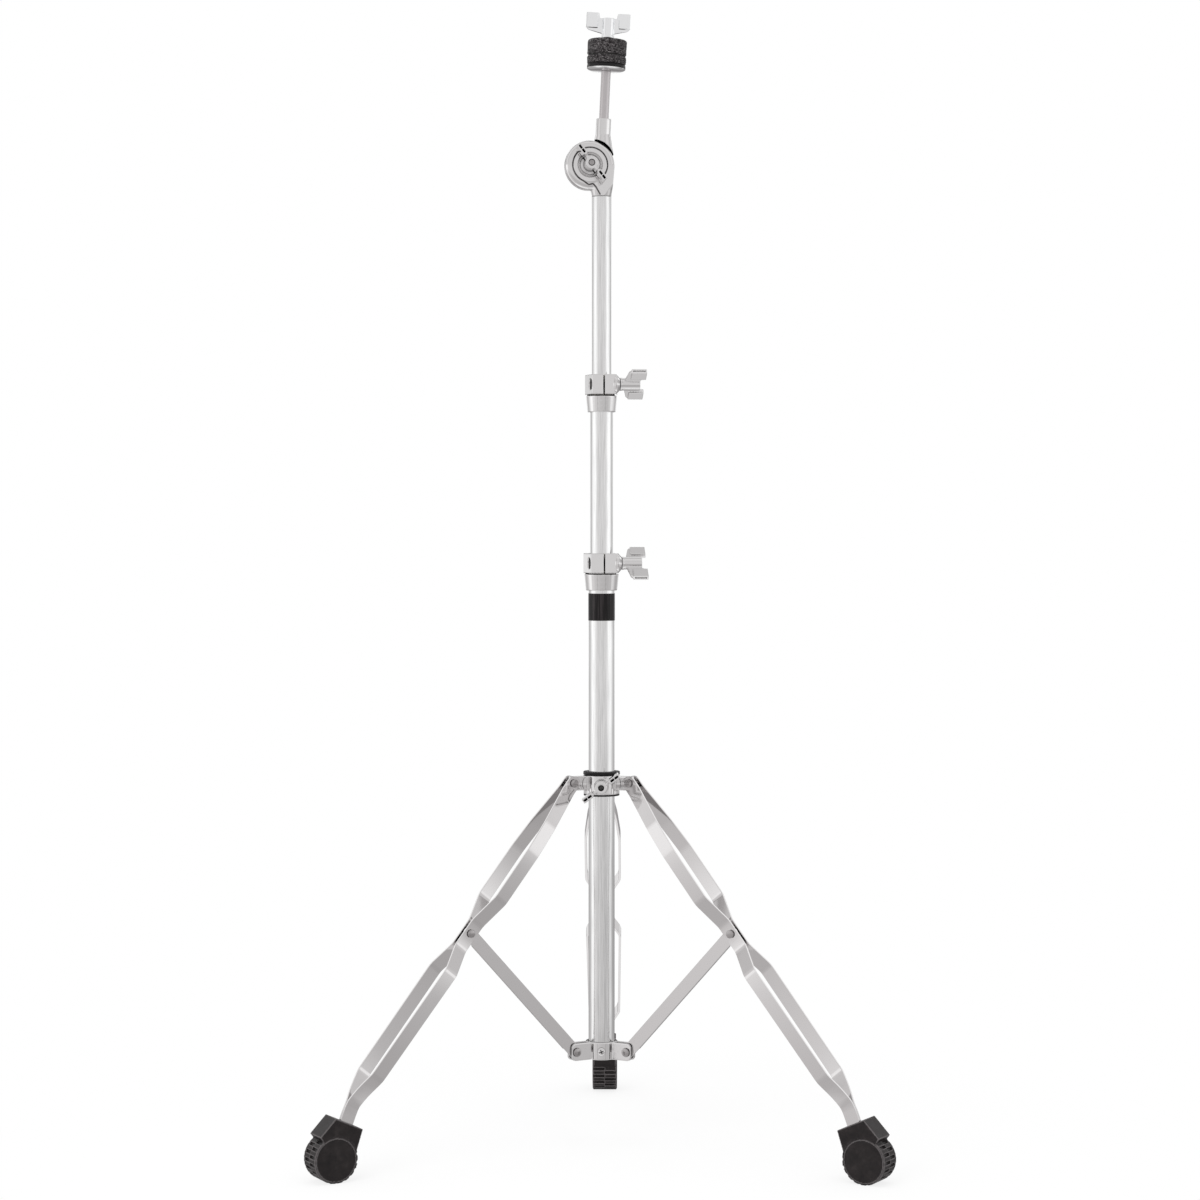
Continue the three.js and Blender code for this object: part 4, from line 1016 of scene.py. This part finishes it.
# %% The felts
# The noise fades in from the edge of the washer that the wing nut presses on the felts.
pressed_radius = 8
most_swell = 0.2
unevenness, matting, shrinkage, face_matting = 0.45, 0.4, 0.1, 0.12
fractal_dimension, octave_step, octaves = 1.0, 2.0, 3
waves_per_mm = Vector((0.12, 0.12, 0.2))
tufts_per_mm = Vector((0.55, 0.55, 1.1))
for node, bottom, top, seed in (("lower_felt", 99, 107.5, 3.7), ("upper_felt", 107.8, 123, 9.2)):
    felt = add_turned(felt_outline(bottom, top), rod_frame, steps=192)
    apart = Vector((0, 0, seed))
    for vertex in felt.data.vertices:
        place = vertex.co / mm
        outward = Vector((place.x, place.y, 0))
        loose = min(1, (outward.length - pressed_radius) / pressed_radius)
        if loose < 0:
            continue
        broad = noise.noise(place * waves_per_mm + apart)
        tuft_place = place * tufts_per_mm + apart
        matted = noise.fractal(tuft_place, fractal_dimension, octave_step, octaves)
        swell = min(most_swell, unevenness * broad + matting * matted - shrinkage) * loose
        level = face_matting * matted * loose
        vertex.co += outward.normalized() * (swell * mm)
        vertex.co.z += (min(level, 0) if place.z > (bottom + top) / 2 else max(level, 0)) * mm
    finish(felt, f"wool_{node}", node, smooth_angle=60)
    print(node, len(felt.data.polygons), "faces")

# %% [markdown]
# ## Feet
#
# Each foot is one rubber moulding: a block that grips the leg and a wheel that can be turned to
# lift spikes or to level the stand. Rubber moulds have slightly rounded edges too, so the copy is
# remeshed and smoothed. A turned face goes on each side of the wheel, and its middle is sunk to
# leave a lip round it.

# %% Three feet
wheel_distance = 288.5
wheel_height = 21.75
face_level = 12.6
lip_radius = 19.3
face_outline = [(0, 10), (21.5, 10), (21.5, 12.2), (21.1, 12.7), (20.3, 13.1), (0, 13.1)]


def face_depth(place):
    """The middle of a wheel's face lies half a millimetre below its lip."""
    return 0.5 if abs(place.z) > face_level and place.xy.length < lip_radius else 0


for side, azimuth in (("left", 210), ("right", -30), ("rear", 90)):
    on_floor = pole_frame @ turned(azimuth, "Z") @ moved(wheel_distance, 0, wheel_height)
    wheel_frame = on_floor @ turned(90, "X")
    faces = [
        add_turned([(radius, out * level) for radius, level in face_outline], wheel_frame)
        for out in (-1, 1)
    ]
    foot = join_pieces([own_copy(f"{side}_foot"), *faces])
    soften(foot, voxel=0.55, passes=2)
    sink(foot, wheel_frame, axis=2, depth_of=face_depth)
    finish(foot, f"rubber_{side}_foot", f"{side}_foot", smooth_angle=70)
    print(side, "foot", len(foot.data.polygons), "faces")
left_over = [node for node in slot_of_node if not frame["nodes"][node].hide_render]
print("solids still shown:", left_over)

# %% [markdown]
# ## Studio
#
# The stand was photographed on pure white. The floor takes a very faint shadow near the feet and
# fades to the background's white further out. The world is white to the camera. To the chrome it is
# a studio with pale and dark panels, because a tube in an even white room would look like plastic.

# %% Floor
white = linear_colour("ffffff")
floor_radius = 6
deselect()
bpy.ops.mesh.primitive_circle_add(
    vertices=round_steps, radius=floor_radius, fill_type="NGON", location=(pole.x, pole.y, 0),
)
floor = bpy.context.object
floor.name = "studio_floor"
floor.visible_glossy = False
material, tree, place = start_material("pale_studio_floor")
paint = add_node(tree, "ShaderNodeBsdfDiffuse", {"Color": linear_colour("f4f4f4")})
glow = add_node(tree, "ShaderNodeEmission", {"Color": white, "Strength": 1.0})
distance = add_node(tree, "ShaderNodeVectorMath", {"Vector": place}, operation="LENGTH")
fade = add_node(tree, "ShaderNodeMapRange", {
    "Value": distance.outputs["Value"], "From Min": 0.25, "From Max": 0.6, "To Min": 0.8,
})
rays = add_node(tree, "ShaderNodeLightPath").outputs
seen = add_node(tree, "ShaderNodeMath", {
    0: rays["Is Camera Ray"], 1: rays["Is Glossy Ray"],
}, operation="MAXIMUM")
seen_or_through = add_node(tree, "ShaderNodeMath", {
    0: seen, 1: rays["Is Transmission Ray"],
}, operation="MAXIMUM")
share = add_node(tree, "ShaderNodeMath", {0: fade, 1: seen_or_through}, operation="MULTIPLY")
mixed = add_node(tree, "ShaderNodeMixShader", {"Fac": share, 1: paint, 2: glow})
add_node(tree, "ShaderNodeOutputMaterial", {"Surface": mixed})
floor.data.materials.append(material)

# %% The panels that the chrome mirrors
# Each row of panels goes from straight behind the stand, at 0, to behind the camera, at 1. There is
# a row for what lies below the horizon, one level with it and one above it.
world = bpy.data.worlds.new("studio")
bpy.context.scene.world = world
world.use_nodes = True
tree = world.node_tree
tree.nodes.clear()
direction = add_node(tree, "ShaderNodeTexCoord").outputs["Generated"]
towards = add_node(tree, "ShaderNodeSeparateXYZ", {"Vector": direction}).outputs
ahead = add_node(tree, "ShaderNodeMapRange", {
    "Value": towards["Y"], "From Min": 1.0, "From Max": -1.0,
})
panels_at = {}
for level, stops in {
    "below": [
        (0.0, "f4f4f4"), (0.008, "8a8889"), (0.03, "8a8889"), (0.05, "9c9b9b"), (0.12, "b0afaf"),
        (0.27, "b4b3b3"), (0.39, "d2d1d1"), (0.48, "f0f0f0"), (0.62, "f4f4f4"), (0.66, "d0cfcf"),
        (0.7, "d2d1d1"), (0.79, "d2d1d1"), (0.83, "c8c7c7"), (0.9, "cbcaca"), (0.925, "b4b3b3"),
        (0.95, "cac9c9"), (1.0, "c6c5c5"),
    ],
    "level": [
        (0.0, "f4f4f4"), (0.008, "8e8c8d"), (0.02, "8e8c8d"), (0.035, "eeeeee"), (0.08, "e4e4e4"),
        (0.1, "a5a4a4"), (0.26, "c4c3c3"), (0.39, "e6e6e6"), (0.52, "fbfbfb"), (0.66, "fbfbfb"),
        (0.74, "f2f2f2"), (0.82, "dddcdc"), (0.89, "d0cfcf"), (0.94, "cecdcd"), (1.0, "cdcccc"),
    ],
    "above": [
        (0.0, "f4f4f4"), (0.008, "464445"), (0.03, "464445"), (0.05, "b4b3b3"), (0.1, "a6a5a5"),
        (0.14, "f6f6f6"), (0.21, "f6f6f6"), (0.27, "a5a4a4"), (0.4, "b6b5b5"), (0.52, "cccbcb"),
        (0.66, "d8d7d7"), (0.78, "cecdcd"), (0.84, "bdbcbc"), (0.9, "c9c8c8"), (1.0, "c8c7c7"),
    ],
}.items():
    row = add_node(tree, "ShaderNodeValToRGB", {"Fac": ahead})
    set_ramp(row, stops)
    panels_at[level] = row

# %% One room from the three rows
# The lower row is a little dimmer on the right. A last ramp dims what lies just under the horizon.
sinking = add_node(tree, "ShaderNodeMapRange", {
    "Value": towards["Z"], "From Min": -0.05, "From Max": -0.13,
})
rising = add_node(tree, "ShaderNodeMapRange", {
    "Value": towards["Z"], "From Min": 0.09, "From Max": 0.15,
})
side_to_side = add_node(tree, "ShaderNodeMapRange", {
    "Value": towards["X"], "From Min": -1.0, "To Min": 1.12, "To Max": 0.8,
})
dimmed = add_node(tree, "ShaderNodeVectorMath", {
    "Vector": panels_at["below"], "Scale": side_to_side,
}, operation="SCALE")
lower_half = add_node(tree, "ShaderNodeMixRGB", {
    "Fac": sinking, "Color1": panels_at["level"], "Color2": dimmed,
})
panels = add_node(tree, "ShaderNodeMixRGB", {
    "Fac": rising, "Color1": lower_half, "Color2": panels_at["above"],
})
height = add_node(tree, "ShaderNodeMapRange", {"Value": towards["Z"], "From Min": -1.0})
storeys = add_node(tree, "ShaderNodeValToRGB", {"Fac": height})
set_ramp(storeys, [
    (0.0, "ffffff"), (0.09, "ffffff"), (0.13, "e2e1e1"), (0.38, "ebeaea"), (0.45, "ffffff"),
    (1.0, "ffffff"),
])
room = add_node(tree, "ShaderNodeMixRGB", {
    "Fac": 1.0, "Color1": panels, "Color2": storeys,
}, blend_type="MULTIPLY")

# %% What each kind of ray sees
mirrored_room = add_node(tree, "ShaderNodeBackground", {"Color": room, "Strength": 1.3})
soft_light = add_node(tree, "ShaderNodeBackground", {"Color": white, "Strength": 0.72})
backdrop = add_node(tree, "ShaderNodeBackground", {"Color": white, "Strength": 1.0})
rays = add_node(tree, "ShaderNodeLightPath").outputs
lit = add_node(tree, "ShaderNodeMixShader", {
    "Fac": rays["Is Glossy Ray"], 1: soft_light, 2: mirrored_room,
})
direct = add_node(tree, "ShaderNodeMath", {
    0: rays["Is Camera Ray"], 1: rays["Is Transmission Ray"],
}, operation="MAXIMUM")
whole = add_node(tree, "ShaderNodeMixShader", {"Fac": direct, 1: lit, 2: backdrop})
add_node(tree, "ShaderNodeOutputWorld", {"Surface": whole})

# %% Lamps
aim_height = 0.55
for name, at, size, power in (
    ("overhead_softbox", (0.0, -0.6, 3.0), 2.4, 34.0),
    ("front_softbox", (-1.8, -3.0, 1.8), 2.0, 40.0),
):
    lamp_data = bpy.data.lights.new(name, "AREA")
    lamp_data.shape = "SQUARE"
    lamp_data.size = size
    lamp_data.energy = power
    lamp = bpy.data.objects.new(name, lamp_data)
    bpy.context.scene.collection.objects.link(lamp)
    lamp.location = at
    aim = Vector((pole.x, pole.y, aim_height)) - lamp.location
    lamp.rotation_euler = aim.to_track_quat("-Z", "Y").to_euler()
    lamp.visible_glossy = False

# %% [markdown]
# ## Colour management
#
# Plain tone mapping keeps colours as they are written.

# %% Colour management and the end
deselect()
bpy.context.scene.view_settings.view_transform = "Standard"
